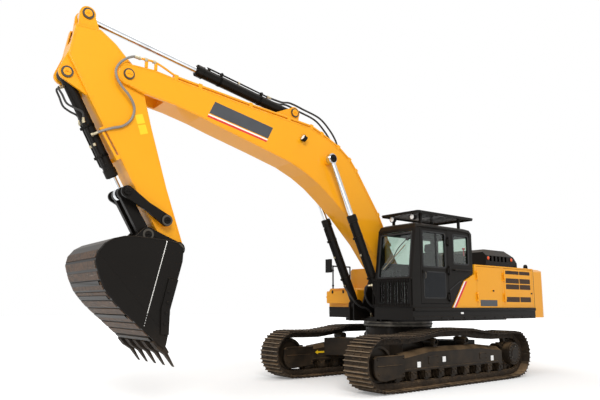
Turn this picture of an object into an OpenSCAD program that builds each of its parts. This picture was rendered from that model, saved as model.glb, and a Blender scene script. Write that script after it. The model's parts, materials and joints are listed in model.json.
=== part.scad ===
// Crawler excavator of the 36 tonne class as an assembly of named pieces.
// X points forward, Y to the left and Z up; the origin lies on the ground under the slewing axis.

/* [Tracks] */
// Distance between the centre lines of the two tracks
gauge = 2590; // [2200:10:3000]
// Width of a track shoe
shoe_width = 600; // [450:50:900]
// Idler and sprocket axles measured from the slewing axis
axle_reach = 2030; // [1700:10:2400]
// Height of the idler and sprocket axles
axle_height = 500; // [420:5:600]
// Radius of the track pins round idler and sprocket
pin_circle = 385; // [320:5:450]
// Number of shoes in one track
shoe_count = 49; // [45:1:55]
// Thickness of a shoe plate
shoe_plate = 16; // [10:1:25]
// Height of a grouser above its shoe
grouser_height = 28; // [15:1:50]
// Height of the track pins over the carrier rollers
carry_height = 970; // [850:5:1100]
// Height of the track pins where the upper run sags
sag_height = 872; // [800:4:1000]
// Half of the run that lies flat on the ground
ground_reach = 1690; // [1400:10:1900]

/* [Rollers and drives] */
// Carrier roller ahead of the slewing axis
carrier_front = 512; // [300:1:800]
// Carrier roller behind the slewing axis
carrier_rear = 440; // [300:1:800]
// Number of track rollers on one side
roller_count = 9; // [7:1:11]
// Radius of a track roller tread
roller_radius = 98; // [80:1:120]
// Radius of the final drive cover
drive_cover_radius = 236; // [180:2:280]
// Number of sprocket teeth
sprocket_teeth = 11; // [9:1:13]

/* [Track frames] */
// Half width of a track frame
side_frame_half = 152; // [130:1:200]
// Underside of a track frame
side_frame_low = 335; // [300:5:400]
// Top of a track frame at its middle
side_frame_top = 655; // [580:5:720]
// Front end of the track frame box
side_frame_front = 1480; // [1300:10:1600]
// Radius of the hole in a towing eye
tow_hole = 34; // [20:1:45]

/* [Carbody] */
// Radius of the drum under the slew ring
drum_radius = 690; // [600:5:800]
// Underside of the carbody
carbody_low = 440; // [380:5:520]
// Top of the carbody legs
carbody_top = 800; // [700:5:900]
// Wall of the carbody
carbody_wall = 40; // [20:1:60]

/* [Revolving frame] */
// Half thickness of the gap between both boom brackets
bracket_inner = 310; // [290:1:340]
// Underside of the deck
deck_low = 1236; // [1150:2:1300]
// Top of the side beams
deck_top = 1465; // [1380:5:1550]
// Half width of the upper structure
deck_half = 1500; // [1400:5:1600]
// Front of the deck under the cab
deck_front = 1228; // [1000:2:1400]
// Front of the deck on the right side
deck_front_right = 666; // [500:2:1100]
// Rear end of the deck
deck_rear = 2952; // [2700:2:3100]

/* [Counterweight] */
// Rear face of the counterweight at its middle
weight_rear = 3620; // [3300:5:3800]
// Underside of the counterweight
weight_low = 1250; // [1150:5:1350]
// Top of the counterweight
weight_top = 2354; // [2200:2:2500]
// Radius of the counterweight's rear face seen from above
weight_curve = 7100; // [4000:50:9000]

/* [House and hood] */
// Thickness of a body panel
panel = 30; // [15:1:45]
// Thickness of single sheet in hood, tanks and boxes
sheet = 12; // [6:1:20]
// Gap round a door or lid
door_gap = 8; // [5:1:15]
// Front wall of the house behind the cab
house_front = 712; // [680:2:800]
// Rear edge of the left front door
left_split = 1690; // [1500:5:1900]
// Front edge of the right rear door
right_split = 1480; // [1300:5:1700]
// Front of the engine hood
hood_front = 1880; // [1700:5:2000]
// Rear of the engine hood
hood_rear = 3140; // [3000:5:3300]
// Half width of the engine hood
hood_half = 1000; // [850:5:1100]
// Underside of the engine hood
hood_low = 2364; // [2358:1:2400]
// Top of the engine hood
hood_top = 2800; // [2700:5:2900]

/* [Tanks] */
// Top of the toolbox at the right front
toolbox_top = 1882; // [1750:2:2000]
// Inner side of toolbox and tanks
tank_inner = 560; // [500:5:700]

/* [Cab] */
// Outer side of the cab
cab_outer = 1490; // [1400:2:1560]
// Inner side of the cab, next to the boom
cab_inner = 522; // [500:2:600]
// Rear wall of the cab behind the slewing axis
cab_rear = 672; // [600:2:800]
// Front of the cab at the windscreen's foot
cab_front = 1205; // [1100:5:1300]
// Front of the cab at the roof
cab_brow = 1075; // [1000:5:1200]
// Height of the cab from its floor plate to its roof
cab_height = 1625; // [1500:5:1750]
// Foot of the windscreen above the underside of the cab
waist_rise = 535; // [400:5:650]
// Wall of the cab
cab_wall = 58; // [45:1:80]
// Rear edge of the door
door_rear = 130; // [80:2:200]
// Front edge of the door
door_front = 965; // [850:5:1020]
// Lower edge of the door above the underside of the cab
door_step = 75; // [40:1:120]
// Upper edge of the door below the roof
door_drop = 100; // [80:2:160]
// Sill of the door window above the underside of the cab
door_sill_rise = 770; // [650:5:900]
// Thickness of a window pane
pane = 8; // [5:1:12]
// Sill of the side and rear windows above the underside of the cab
sill_rise = 865; // [750:5:1000]
// Head of all windows below the roof
window_drop = 165; // [130:5:220]

/* [Cab fittings] */
// Top of the roof guard above the roof
guard_rise = 228; // [150:2:300]
// Height of the right handrail above the toolbox
rail_rise = 520; // [350:5:700]
// Seat cushion width
seat_width = 500; // [420:5:560]

/* [Boom] */
// Boom foot pin ahead of the slewing axis
foot_x = 330; // [200:5:450]
// Height of the boom foot pin
foot_z = 2190; // [2050:5:2350]
// Boom length from pin to pin
boom_length = 6626; // [6000:2:7000]
// Angle of the boom at rest
boom_angle = 25.7; // [20:0.1:32]
// Half width of the boom
boom_half = 255; // [220:1:300]
// Plate thickness of the boom's box
boom_plate = 18; // [10:1:30]
// Inner side of the boom's nose fork
fork_inner = 205; // [180:1:230]
// Radius of the slot in the boom's nose
fork_slot = 690; // [600:5:800]
// Radius of the foot and nose bosses
boss_radius = 175; // [140:1:210]
// Radius of the large pins
pin_radius = 60; // [45:1:75]
// Lift cylinder pin along the boom
lift_pin_along = 2645; // [2400:5:2800]
// Lift cylinder pin above the boom's chord
lift_pin_rise = 1113; // [1000:5:1200]
// Crowd cylinder base pin along the boom
crowd_base_along = 3671; // [3400:5:3900]
// Crowd cylinder base pin above the boom's chord
crowd_base_rise = 1562; // [1450:5:1650]
// Radius of a hydraulic pipe on boom and arm
pipe_radius = 22; // [15:0.5:30]

/* [Arm] */
// Arm length from pin to pin
arm_length = 2854; // [2500:2:3200]
// Angle of the arm at rest
arm_angle = 250.1; // [240:0.1:262]
// Height of the arm's back above its pivot
arm_height = 819.1; // [700:5:950]
// Half width of the arm
arm_half = 195; // [170:1:200]
// Plate thickness of the arm's box
arm_plate = 16; // [10:1:25]
// Radius of the slot between the ears at the arm's head
eye_slot = 560; // [200:5:600]
// Crowd cylinder pin along the arm, behind its pivot
crowd_pin_behind = 1016; // [900:4:1100]
// Crowd cylinder pin off the arm's axis
crowd_pin_rise = 324; // [280:4:380]
// Curl cylinder base pin behind the arm's pivot
curl_base_behind = 148; // [100:4:250]
// Curl cylinder base pin off the arm's axis
curl_base_rise = 893; // [800:4:960]
// Guide link pin from the arm's tip pin
guide_pin_back = 486; // [400:2:650]
// Guide link pin off the arm's axis
guide_pin_rise = 88; // [40:2:120]

/* [Bucket linkage] */
// Guide link from pin to pin
guide_length = 758; // [650:2:850]
// Bucket link from pin to pin
link_length = 730; // [620:2:820]
// Inner side of the guide links
guide_inner = 262; // [256:1:300]
// Thickness of a guide link
guide_plate = 46; // [30:1:60]
// Half length of the bucket link's lower tube
link_half = 190; // [170:1:194]
// Radius of the linkage pins
link_pin = 46; // [35:1:60]

/* [Bucket] */
// Bucket pivot to the tips of the teeth
tip_radius = 1789; // [1600:2:1900]
// Angle of the bucket at rest
bucket_angle = 276.2; // [265:0.1:285]
// Half width of the bucket
bucket_half = 720; // [600:5:800]
// Thickness of the bucket's plates
bucket_plate = 30; // [18:1:45]
// Inner side of the bucket's hinge ears
hinge_ear_inner = 202; // [198:1:215]
// Bucket link pin before the pivot, seen towards the teeth
link_pin_behind = 133; // [80:2:180]
// Bucket link pin off the line to the teeth
link_pin_rise = 537; // [480:2:600]
// Number of teeth
tooth_count = 5; // [4:1:7]
// Outermost tooth from the bucket's middle
tooth_reach = 640; // [500:5:700]

/* [Cylinders] */
// Middle of a lift cylinder from the machine's middle
lift_offset = 395; // [380:1:410]
// Lift cylinder base pin ahead of the slewing axis
lift_base_x = 870; // [780:5:950]
// Height of the lift cylinder base pin
lift_base_z = 1500; // [1400:5:1600]
// Barrel radius of a lift cylinder
lift_barrel = 86; // [70:1:100]
// Barrel length of a lift cylinder
lift_length = 1950; // [1700:5:2100]
// Rod radius of a lift cylinder
lift_rod = 52; // [40:1:65]
// Rod length of a lift cylinder
lift_rod_length = 1860; // [1500:5:2000]
// Barrel radius of the crowd cylinder
crowd_barrel = 96; // [80:1:110]
// Barrel length of the crowd cylinder
crowd_length = 2090; // [1900:5:2200]
// Rod radius of the crowd cylinder
crowd_rod = 56; // [45:1:70]
// Rod length of the crowd cylinder
crowd_rod_length = 2200; // [1900:5:2250]
// Barrel radius of the curl cylinder
curl_barrel = 86; // [70:1:100]
// Rod of the curl cylinder that shows at rest
curl_exposed = 298; // [280:2:400]
// Rod radius of the curl cylinder
curl_rod = 50; // [40:1:65]
// Half width of a cylinder eye
eye_half = 45; // [35:1:58]
// Radius of a cylinder eye
eye_radius = 104; // [85:1:125]

/* [Fits] */
// Clearance of a pin in its bore, at its radius
running_fit = 0.3; // [0.1:0.05:0.5]
// Seat between two pieces that touch in reality
seat = 0.2; // [0.1:0.05:0.3]
// Free play beside a moving eye
side_play = 6; // [5:0.5:10]
// Depth by which joined shapes overlap
bite = 4; // [1:0.5:10]
// Overrun of a cut
cut = 20; // [5:1:40]

/* [Hidden] */
paint = "#F2AE2E";
black = "#1F1C1A";
steel = "#4A4540";
chrome = "#C9CCCE";

function rot2(p, a) = [p[0] * cos(a) - p[1] * sin(a), p[0] * sin(a) + p[1] * cos(a)];
function sized(shares, size) = [for (p = shares) p * size];
function unit(v) = v / norm(v);
function left(v) = [-v[1], v[0]];
function inset(p, d) = let(n = len(p)) [for (i = [0 : n - 1])
  let(a = left(unit(p[i] - p[(i + n - 1) % n])), b = left(unit(p[(i + 1) % n] - p[i])))
  p[i] + d * (a + b) / (1 + a * b)];
function arc(c, r, a0, a1, n) = [for (i = [0 : n]) c + r * [cos(a0 + (a1 - a0) * i / n),
  sin(a0 + (a1 - a0) * i / n)]];
function meet(p, rp, q, rq) = let(d = norm(q - p), u = (q - p) / d,
  a = (rp * rp - rq * rq + d * d) / (2 * d))
  p + a * u + sqrt(rp * rp - a * a) * left(u);

// Small sizes of single pieces.
carrier_radius = 80;
drive_cover_reach = 206;
tread_half = 118;
link_rise = 55;
rail_drop = 55;
side_frame_end_top = 560;
side_frame_wall = 20;
ring_outer = 730;
ring_inner = 590;
bracket_plate = 36;
lug_outer = 446;
foot_half = 300;
arm_boss = 190;
tip_boss = 116;
ear_plate = 48;
ear_inner = 100;
ear_radius = 120;
link_boss = 92;
hinge_ear_plate = 48;
hinge_ear_radius = 112;
eye_hole = 45;
lamp_radius = 58;
louvre_height = 130;
barrel_wall = 12;
bar_count = 11;
guard_slots = 9;
guard_front = 985;
guard_rear = 756;
tow_plate = 32;
shoe_gap = 16;
shoe_groove = 12;
grouser_tip = 14;
grouser_flank = 10;
rail_width = 52;
rail_offset = 60;
sag_reach = 1640;
sag_end = 1220;
climb_height = 915;
roller_flange = 20;
shaft_radius = 42;
drive_motor_radius = 190;
drive_motor_reach = 330;
tooth_overreach = 12;
sprocket_half = 46;
yoke_half = 70;
yoke_inner = 126;
bracket_width = 150;
carrier_bracket = 90;
leg_outer = 1120;
leg_inner = 560;
deck_plate = 30;
beam_wall = 24;
sole_front = 1000;
sole_half = 760;
weight_corner = 190;
weight_chamfer = 130;
weight_undercut = 210;
eye_bar = 22;
hinge_pin = 9;
hinge_knuckle = 18;
hinge_length = 90;
hinge_reach = 25;
louvre_blade = 10;
tank_edge = 45;
cap_radius = 70;
cap_height = 40;
cab_round = 110;
slant_foot = 60;
slant_knee = 352;
slant_knee_rise = 555;
slant_head_rise = 701;
window_post = 78;
quarter_front = 40;
quarter_rear = 545;
door_frame = 70;
guard_plate = 18;
guard_slot = 60;
guard_post = 46;
bar_radius = 9;
bar_reach = 30;
lamp_depth = 72;
rail_tube = 17;
mirror_width = 190;
mirror_height = 310;
seat_pad = 120;
seat_rise = 430;
seat_back = 760;
pin_head = 22;
head_radius = 88;
hood_chamfer = 150;
hood_slope = 300;
guide_end = 92;
guide_waist = 66;
link_ear_outer = 150;
link_ear_inner = 72;
cutter_plate = 26;
strip_width = 70;
strip_plate = 20;
adapter_width = 130;
tooth_width = 96;
gland_length = 110;
gland_step = 12;
piston_length = 90;
barrel_end = 130;
post_width = 60;
drum_top = 1080;
ring_height = 104;
carbody_half = 620;
toolbox_rear = 12;
fuel_rear = 800;
engine_length = 1080;
engine_width = 1200;
engine_height = 820;
engine_behind = 2330;

cab_low = deck_top + seat;
weight_front = deck_rear + seat;
tow_reach = drum_radius + tow_hole * 4;
tow_height = (carbody_low + carbody_top) / 2;
side_frame_rear = axle_reach - pin_circle - tooth_overreach - side_play * 2;
cab_top = cab_low + cab_height;
cab_waist = cab_low + waist_rise;
slant_knee_height = cab_low + slant_knee_rise;
slant_head = cab_low + slant_head_rise;
door_low = cab_low + door_step;
door_top = cab_top - door_drop;
door_sill = cab_low + door_sill_rise;
window_sill = cab_low + sill_rise;
window_head = cab_top - window_drop;
guard_top = cab_top + guard_rise;
foot = [foot_x, foot_z];
nose = foot + boom_length * [cos(boom_angle), sin(boom_angle)];
tip = nose + arm_length * [cos(arm_angle), sin(arm_angle)];
function boom_at(p) = foot + rot2(p, boom_angle);
function arm_at(p) = nose + rot2(p, arm_angle);
function bucket_at(p) = tip + rot2(p, bucket_angle);
lift_pin = [lift_pin_along, lift_pin_rise];
crowd_base = [crowd_base_along, crowd_base_rise];
crowd_pin = [-crowd_pin_behind, crowd_pin_rise];
curl_base = [-curl_base_behind, curl_base_rise];
guide_pin = [arm_length - guide_pin_back, guide_pin_rise];
link_low = [-link_pin_behind, link_pin_rise];
guide_world = arm_at(guide_pin);
link_world = bucket_at(link_low);
knee_world = meet(guide_world, guide_length, link_world, link_length);
lift_base = [lift_base_x, lift_base_z];
lift_world = boom_at(lift_pin);
crowd_base_world = boom_at(crowd_base);
crowd_world = arm_at(crowd_pin);
curl_base_world = arm_at(curl_base);
curl_length = norm(knee_world - curl_base_world) - curl_exposed;
curl_rod_length = curl_length + barrel_end;

module prism(pts, y0, y1) {
  translate([0, y1, 0]) rotate([90, 0, 0]) linear_extrude(height = y1 - y0) polygon(pts);
}
module bar(p, r, y0, y1) {
  translate([p[0], y1, p[1]]) rotate([90, 0, 0]) cylinder(h = y1 - y0, r = r, $fn = 48);
}
module block(a, b) {
  translate([min(a[0], b[0]), min(a[1], b[1]), min(a[2], b[2])])
    cube([abs(b[0] - a[0]), abs(b[1] - a[1]), abs(b[2] - a[2])]);
}
module shell_box(a, b) {
  w = [sheet, sheet, sheet];
  difference() {
    block(a, b);
    block(a + w, b - w);
  }
}
module both() {
  children();
  mirror([0, 1, 0]) children();
}
module on_tracks() {
  translate([0, gauge / 2, 0]) children();
  mirror([0, 1, 0]) translate([0, gauge / 2, 0]) children();
}
module in_boom() {
  translate([foot[0], 0, foot[1]]) rotate([0, -boom_angle, 0]) children();
}
module in_arm() {
  translate([nose[0], 0, nose[1]]) rotate([0, -arm_angle, 0]) children();
}
module in_bucket() {
  translate([tip[0], 0, tip[1]]) rotate([0, -bucket_angle, 0]) children();
}
module along(p, q) {
  translate([p[0], 0, p[1]]) rotate([0, 90 - atan2(q[1] - p[1], q[0] - p[0]), 0]) children();
}
module tube(p, q, r) {
  d = q - p;
  translate(p) rotate([0, acos(d[2] / norm(d)), atan2(d[1], d[0])]) cylinder(h = norm(d), r = r, $fn = 24);
}
module rail(pts, r) {
  for (i = [0 : len(pts) - 2]) tube(pts[i], pts[i + 1], r);
  for (i = [1 : len(pts) - 2]) translate(pts[i]) sphere(r = r, $fn = 24);
}
// Pipes beside each other on the outer side of an outline, held by clamps at its corners.
module pipes(outline, corners, rows, r) {
  n = len(outline);
  run = inset(outline, -r * 2);
  both() {
    for (y = rows, i = [0 : len(corners) - 2]) let(p = run[corners[i]], q = run[corners[i + 1]])
      tube([p[0], y, p[1]], [q[0], y, q[1]], r);
    for (k = corners) let(v = outline[k], a = unit(v - outline[k - 1]), b = unit(outline[(k + 1) % n] - v),
      u = unit(a + b), o = -left(u))
      prism([v - a * r * 1.5 - left(a) * seat, v + o * seat * 2, v + b * r * 1.5 - left(b) * seat,
        v + u * r * 1.5 + o * r * 3.3, v - u * r * 1.5 + o * r * 3.3],
        min(rows) - r * 1.1, max(rows) + r * 1.1);
  }
}

// The track: pins on a closed path, shoes on the chords between pins.
pitch_low = link_rise + shoe_plate + grouser_height;
path = concat(
  [[-ground_reach, pitch_low], [ground_reach, pitch_low]],
  arc([axle_reach, axle_height], pin_circle, -80, 90, 24),
  [[sag_reach, sag_height], [sag_end, sag_height], [(sag_end + carrier_front) / 2, climb_height],
    [carrier_front, carry_height], [-carrier_rear, carry_height],
    [-(sag_end + carrier_rear) / 2, climb_height], [-sag_end, sag_height], [-sag_reach, sag_height]],
  arc([-axle_reach, axle_height], pin_circle, 90, 260, 24));
path_ends = [for (i = 0, s = 0; i <= len(path);
  s = s + norm(path[(i + 1) % len(path)] - path[i % len(path)]), i = i + 1) s];
path_total = path_ends[len(path)];
function on_path(s) = let(i = max([for (k = [0 : len(path) - 1]) if (path_ends[k] <= s) k]),
  f = (s - path_ends[i]) / (path_ends[i + 1] - path_ends[i]))
  path[i] + f * (path[(i + 1) % len(path)] - path[i]);
pins = [for (i = [0 : shoe_count - 1]) on_path((i + 1 / 2) * path_total / shoe_count)];
function shoe(p, q) = let(u = unit(q - p), o = [u[1], -u[0]], far = norm(q - p) - shoe_gap / 2,
  near = shoe_gap / 2,
  mid = norm(q - p) / 2, w = grouser_tip, f = grouser_flank, low = link_rise + shoe_plate,
  high = low + grouser_height, groove = low - shoe_groove)
  [for (k = [[near, groove], [near, high], [near + w, high], [near + w + f, low],
    [mid - w / 2 - f, low], [mid - w / 2, high], [mid + w / 2, high], [mid + w / 2 + f, low],
    [far - w - f, low], [far - w, high], [far, high], [far, groove]]) p + k[0] * u + k[1] * o];
shoes = [for (i = [0 : shoe_count - 1]) each shoe(pins[i], pins[(i + 1) % shoe_count])];

module track() {
  difference() {
    prism(shoes, -shoe_width / 2, shoe_width / 2);
    prism(inset(pins, -link_rise), -shoe_width / 2 - cut, shoe_width / 2 + cut);
  }
  both() difference() {
    prism(inset(pins, -link_rise - bite / 2), rail_offset, rail_offset + rail_width);
    prism(inset(pins, rail_drop), rail_offset - cut, rail_offset + rail_width + cut);
  }
}
module track_left() {
  color(steel) translate([0, gauge / 2, 0]) track();
}
module track_right() {
  color(steel) mirror([0, 1, 0]) translate([0, gauge / 2, 0]) track();
}

rail_floor = pitch_low + rail_drop;
roller_axis = rail_floor + roller_radius + seat;
// The outer rollers keep clear of the sprocket's teeth.
roller_span = 2 * (axle_reach - sqrt(pow(pin_circle + tooth_overreach + roller_radius + roller_flange +
  side_play, 2)
  - pow(axle_height - roller_axis, 2)));
wheel_tread = sqrt(pow(pin_circle, 2) - pow(path_total / shoe_count / 2, 2)) - rail_drop - side_play;
module idlers() {
  color(black) on_tracks() difference() {
    union() {
      bar([axle_reach, axle_height], wheel_tread, -tread_half, tread_half);
      bar([axle_reach, axle_height], wheel_tread + roller_flange, -sprocket_half, sprocket_half);
      bar([axle_reach, axle_height], shaft_radius, -side_frame_half - pin_head, side_frame_half + pin_head);
    }
    for (s = [0, 1]) mirror([0, s, 0]) difference() {
      bar([axle_reach, axle_height], wheel_tread - roller_flange * 2, tread_half / 2, tread_half + cut);
      bar([axle_reach, axle_height], shaft_radius * 2, 0, tread_half + cut * 2);
    }
  }
}
tooth_pitch = 360 / sprocket_teeth;
tooth_shares = [[-0.30, 0], [-0.13, 1], [0.13, 1], [0.30, 0]];
module sprockets() {
  root = wheel_tread - roller_flange;
  color(black) on_tracks() difference() {
    prism([for (i = [0 : sprocket_teeth - 1], k = tooth_shares)
      let(r = root + k[1] * (pin_circle + tooth_overreach - root), a = (i + k[0]) * tooth_pitch)
      [-axle_reach + r * cos(a), axle_height + r * sin(a)]], -sprocket_half, sprocket_half);
    bar([-axle_reach, axle_height], drive_cover_radius + seat, -sprocket_half - cut, sprocket_half + cut);
  }
}
module final_drives() {
  axle = [-axle_reach, axle_height];
  color(black) on_tracks() {
    bar(axle, drive_cover_radius, -tread_half, drive_cover_reach - pin_head);
    bar(axle, drive_cover_radius - pin_head, 0, drive_cover_reach);
    bar(axle, drive_motor_radius, -drive_motor_reach, 0);
    bar(axle, drive_cover_radius + bite * 4, -sprocket_half - bite * 6, -sprocket_half - seat);
  }
}
module track_rollers() {
  color(black) on_tracks() for (i = [0 : roller_count - 1]) {
    c = [-roller_span / 2 + i * roller_span / (roller_count - 1), roller_axis];
    bar(c, roller_radius, -tread_half, tread_half);
    bar(c, roller_radius + roller_flange, -sprocket_half, sprocket_half);
    bar(c, shaft_radius, -side_frame_half + side_frame_wall + seat,
      side_frame_half - side_frame_wall - seat);
  }
}
module carrier_rollers() {
  color(black) on_tracks() for (x = [carrier_front, -carrier_rear]) {
    c = [x, carry_height - rail_drop - carrier_radius - side_play * 2.5];
    bar(c, carrier_radius, -tread_half, tread_half);
    bar(c, shaft_radius, -side_frame_half, tread_half + pin_head);
  }
}
frame_side = [[-side_frame_rear, side_frame_low], [side_frame_front, side_frame_low],
  [side_frame_front, side_frame_end_top], [carrier_front + carrier_bracket * 2, side_frame_top],
  [-carrier_rear - carrier_bracket * 5, side_frame_top], [-side_frame_rear, side_frame_end_top + bite * 5]];
module side_frames() {
  carrier_axis = carry_height - rail_drop - carrier_radius - side_play * 2.5;
  axle = [-axle_reach, axle_height];
  color(black) on_tracks() difference() {
    union() {
      difference() {
        prism(frame_side, -side_frame_half, side_frame_half);
        prism(inset(frame_side, side_frame_wall), -side_frame_half + side_frame_wall,
          side_frame_half - side_frame_wall);
        block([-side_frame_rear - cut, -side_frame_half + side_frame_wall, side_frame_low - cut],
          [side_frame_front + cut, side_frame_half - side_frame_wall, side_frame_low + roller_flange * 2]);
      }
      both() prism([[side_frame_front - bracket_width, axle_height - yoke_half],
        [axle_reach + yoke_half, axle_height - yoke_half], [axle_reach + yoke_half,
          axle_height + yoke_half],
        [side_frame_front - bracket_width, axle_height + yoke_half]], yoke_inner, side_frame_half);
      for (i = [0 : roller_count - 1]) both()
        block([-roller_span / 2 + i * roller_span / (roller_count - 1) - bracket_width / 2,
          side_frame_half - side_frame_wall, roller_axis - shaft_radius - bite * 3],
          [-roller_span / 2 + i * roller_span / (roller_count - 1) + bracket_width / 2,
          side_frame_half, side_frame_low + bite]);
      for (x = [carrier_front, -carrier_rear])
        block([x - carrier_bracket / 2, -side_frame_half, side_frame_top - side_frame_wall],
          [x + carrier_bracket / 2, -tread_half - bite, carrier_axis + shaft_radius + bite * 4]);
      prism([[-side_frame_rear - bracket_width * 4, axle_height - yoke_half * 2],
        [-side_frame_rear + bite, side_frame_low + roller_flange * 2], [-side_frame_rear + bite,
          side_frame_end_top],
        [-side_frame_rear - bracket_width * 4, axle_height + yoke_half * 2]],
        -side_frame_half, -sprocket_half - bite * 8);
      block([side_frame_front - bite, -yoke_inner - bite, side_frame_low + roller_flange * 2],
        [side_frame_front + side_frame_wall, yoke_inner + bite, side_frame_end_top]);
    }
    bar([axle_reach, axle_height], shaft_radius + seat, -side_frame_half - cut, side_frame_half + cut);
    bar(axle, drive_cover_radius + bite * 5, -sprocket_half - bite * 8 - cut * 2, cut);
    bar(axle, drive_cover_radius + seat, -side_frame_half - cut, 0);
    for (x = [carrier_front, -carrier_rear])
      bar([x, carrier_axis], shaft_radius + seat, -side_frame_half - cut, 0);
  }
}
module carbody() {
  reach = gauge / 2 - side_frame_half - seat;
  half = [[leg_inner, reach], [leg_inner / 2, drum_radius], [-leg_inner / 2, drum_radius], [-leg_inner,
    reach],
    [-leg_outer, reach], [-carbody_half, drum_radius / 2], [-carbody_half, -drum_radius / 2], [-leg_outer,
      -reach]];
  plan = concat(half, -half);
  color(black) difference() {
    union() {
      translate([0, 0, carbody_low]) linear_extrude(height = carbody_top - carbody_low) polygon(plan);
      translate([0, 0, carbody_low]) cylinder(h = drum_top - carbody_low, r = drum_radius, $fn = 96);
      for (x = [-tow_reach, tow_reach]) {
        translate([x, 0, tow_height - tow_plate]) cylinder(h = tow_plate * 2, r = tow_hole * 2.2, $fn = 48);
        block([0, -tow_hole * 2.2, tow_height - tow_plate], [x, tow_hole * 2.2, tow_height + tow_plate]);
      }
    }
    translate([0, 0, carbody_low + carbody_wall]) linear_extrude(height = carbody_top - carbody_low -
      carbody_wall * 2)
      polygon(inset(plan, carbody_wall));
    translate([0, 0, carbody_low + carbody_wall]) cylinder(h = drum_top,
      r = drum_radius - carbody_wall * 2, $fn = 96);
    for (x = [-tow_reach, tow_reach]) translate([x, 0, tow_height - tow_plate - cut])
      cylinder(h = (tow_plate + cut) * 2, r = tow_hole, $fn = 48);
  }
}
ring_top = drum_top + ring_height;
module slew_ring() {
  color(steel) translate([0, 0, drum_top]) difference() {
    cylinder(h = ring_height, r = ring_outer, $fn = 96);
    translate([0, 0, -cut]) cylinder(h = ring_height + cut * 2, r = ring_inner, $fn = 96);
  }
}

sole_low = ring_top + seat * 2;
bracket_side = concat([[-deck_rear, sole_low], [sole_front, sole_low], [sole_front, lift_base_z]],
  arc(lift_base, sole_front - lift_base_x, 0, 170, 10),
  arc(foot, boss_radius, -20, 165, 10),
  [[-foot_x * 3, deck_top], [-deck_rear, deck_top]]);
deck_plan = [[-deck_rear, deck_half - beam_wall], [-deck_rear, -deck_half + beam_wall],
  [deck_front_right - beam_wall, -deck_half + beam_wall], [deck_front_right - beam_wall, -bracket_inner],
  [deck_front - beam_wall, lug_outer + bracket_plate + cut * 2], [deck_front - beam_wall,
    deck_half - beam_wall]];
module main_frame() {
  color(black) difference() {
    union() {
      both() prism(bracket_side, bracket_inner, bracket_inner + bracket_plate);
      both() prism(concat([[sole_front, sole_low], [sole_front, lift_base_z]],
        arc(lift_base, sole_front - lift_base_x, 0, 180, 12), [[lift_base_x - boss_radius * 2, sole_low]]),
        lug_outer, lug_outer + bracket_plate);
      translate([0, 0, sole_low]) linear_extrude(height = deck_low + bite - sole_low) polygon([
        [-deck_rear, -sole_half], [sole_front - boss_radius, -sole_half], [sole_front - boss_radius,
          sole_half],
        [-deck_rear, sole_half]]);
      difference() {
        translate([0, 0, deck_low]) linear_extrude(height = deck_plate) polygon(deck_plan);
        block([sole_front - boss_radius, -lug_outer, deck_low - cut],
          [deck_front + cut, lug_outer, deck_low + deck_plate + cut]);
      }
    }
    bar(foot, pin_radius + running_fit, -lug_outer, lug_outer);
    both() bar(lift_base, pin_radius + seat, bracket_inner - cut, bracket_inner + bracket_plate + cut);
    both() bar(lift_base, pin_radius + seat, lug_outer - cut, lug_outer + bracket_plate + cut);
    both() block([lift_base_x - boss_radius * 2, bracket_inner + bracket_plate,
      deck_low + deck_plate + bite],
      [sole_front + cut, lug_outer, lift_base_z + boss_radius * 2]);
  }
  color(steel) both() bar(lift_base, pin_radius, bracket_inner, lug_outer + bracket_plate + pin_head);
  color(steel) both() bar(lift_base, head_radius, lug_outer + bracket_plate,
    lug_outer + bracket_plate + pin_head);
}
module side_beams() {
  low = deck_low + deck_plate + seat;
  color(black) {
    block([-deck_rear, deck_half - beam_wall + seat, deck_low], [deck_front, deck_half, deck_top]);
    block([deck_front - beam_wall + seat, lug_outer + bracket_plate + cut * 2, deck_low],
      [deck_front, deck_half - bite, deck_top]);
    block([-deck_rear, -deck_half, deck_low], [deck_front_right, -deck_half + beam_wall - seat, deck_top]);
    block([deck_front_right - beam_wall + seat, -deck_half + bite, deck_low + bite + seat],
      [deck_front_right, -tank_inner, deck_top]);
    shell_box([-cab_rear, cab_inner, low], [deck_front - beam_wall - seat, deck_half - beam_wall,
      deck_top]);
    shell_box([-right_split, -deck_half + beam_wall, low], [deck_front_right - beam_wall, -tank_inner,
      deck_top]);
  }
}
weight_side = [[-weight_front, weight_low], [-weight_front, weight_top],
  [-weight_rear + weight_chamfer * 2, weight_top],
  [-weight_rear, weight_top - weight_chamfer], [-weight_rear, weight_low + weight_undercut * 2],
  [-weight_rear + weight_undercut / 2, weight_low + weight_undercut / 2], [-weight_rear + weight_undercut,
    weight_low]];
module counterweight() {
  corner = [weight_corner - weight_rear + weight_curve - sqrt(pow(weight_curve, 2) - pow(deck_half, 2)),
    deck_half - weight_corner];
  color(paint) intersection() {
    prism(weight_side, -deck_half, deck_half);
    union() {
      intersection() {
        translate([weight_curve - weight_rear, 0, weight_low]) cylinder(h = weight_top - weight_low,
          r = weight_curve, $fn = 180);
        union() {
          block([-weight_rear, -corner[1], weight_low], [-weight_front, corner[1], weight_top]);
          block([corner[0], -deck_half, weight_low], [-weight_front, deck_half, weight_top]);
        }
      }
      both() translate([corner[0], corner[1], weight_low]) cylinder(h = weight_top - weight_low,
        r = weight_corner, $fn = 64);
    }
    translate([-weight_rear - cut, 0, 0]) rotate([90, 0, 90]) linear_extrude(height = weight_rear) polygon([
      [-deck_half, weight_low], [deck_half, weight_low], [deck_half, weight_top - weight_chamfer / 2],
      [deck_half - weight_chamfer, weight_top], [weight_chamfer - deck_half, weight_top],
      [-deck_half, weight_top - weight_chamfer / 2]]);
  }
}
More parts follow.
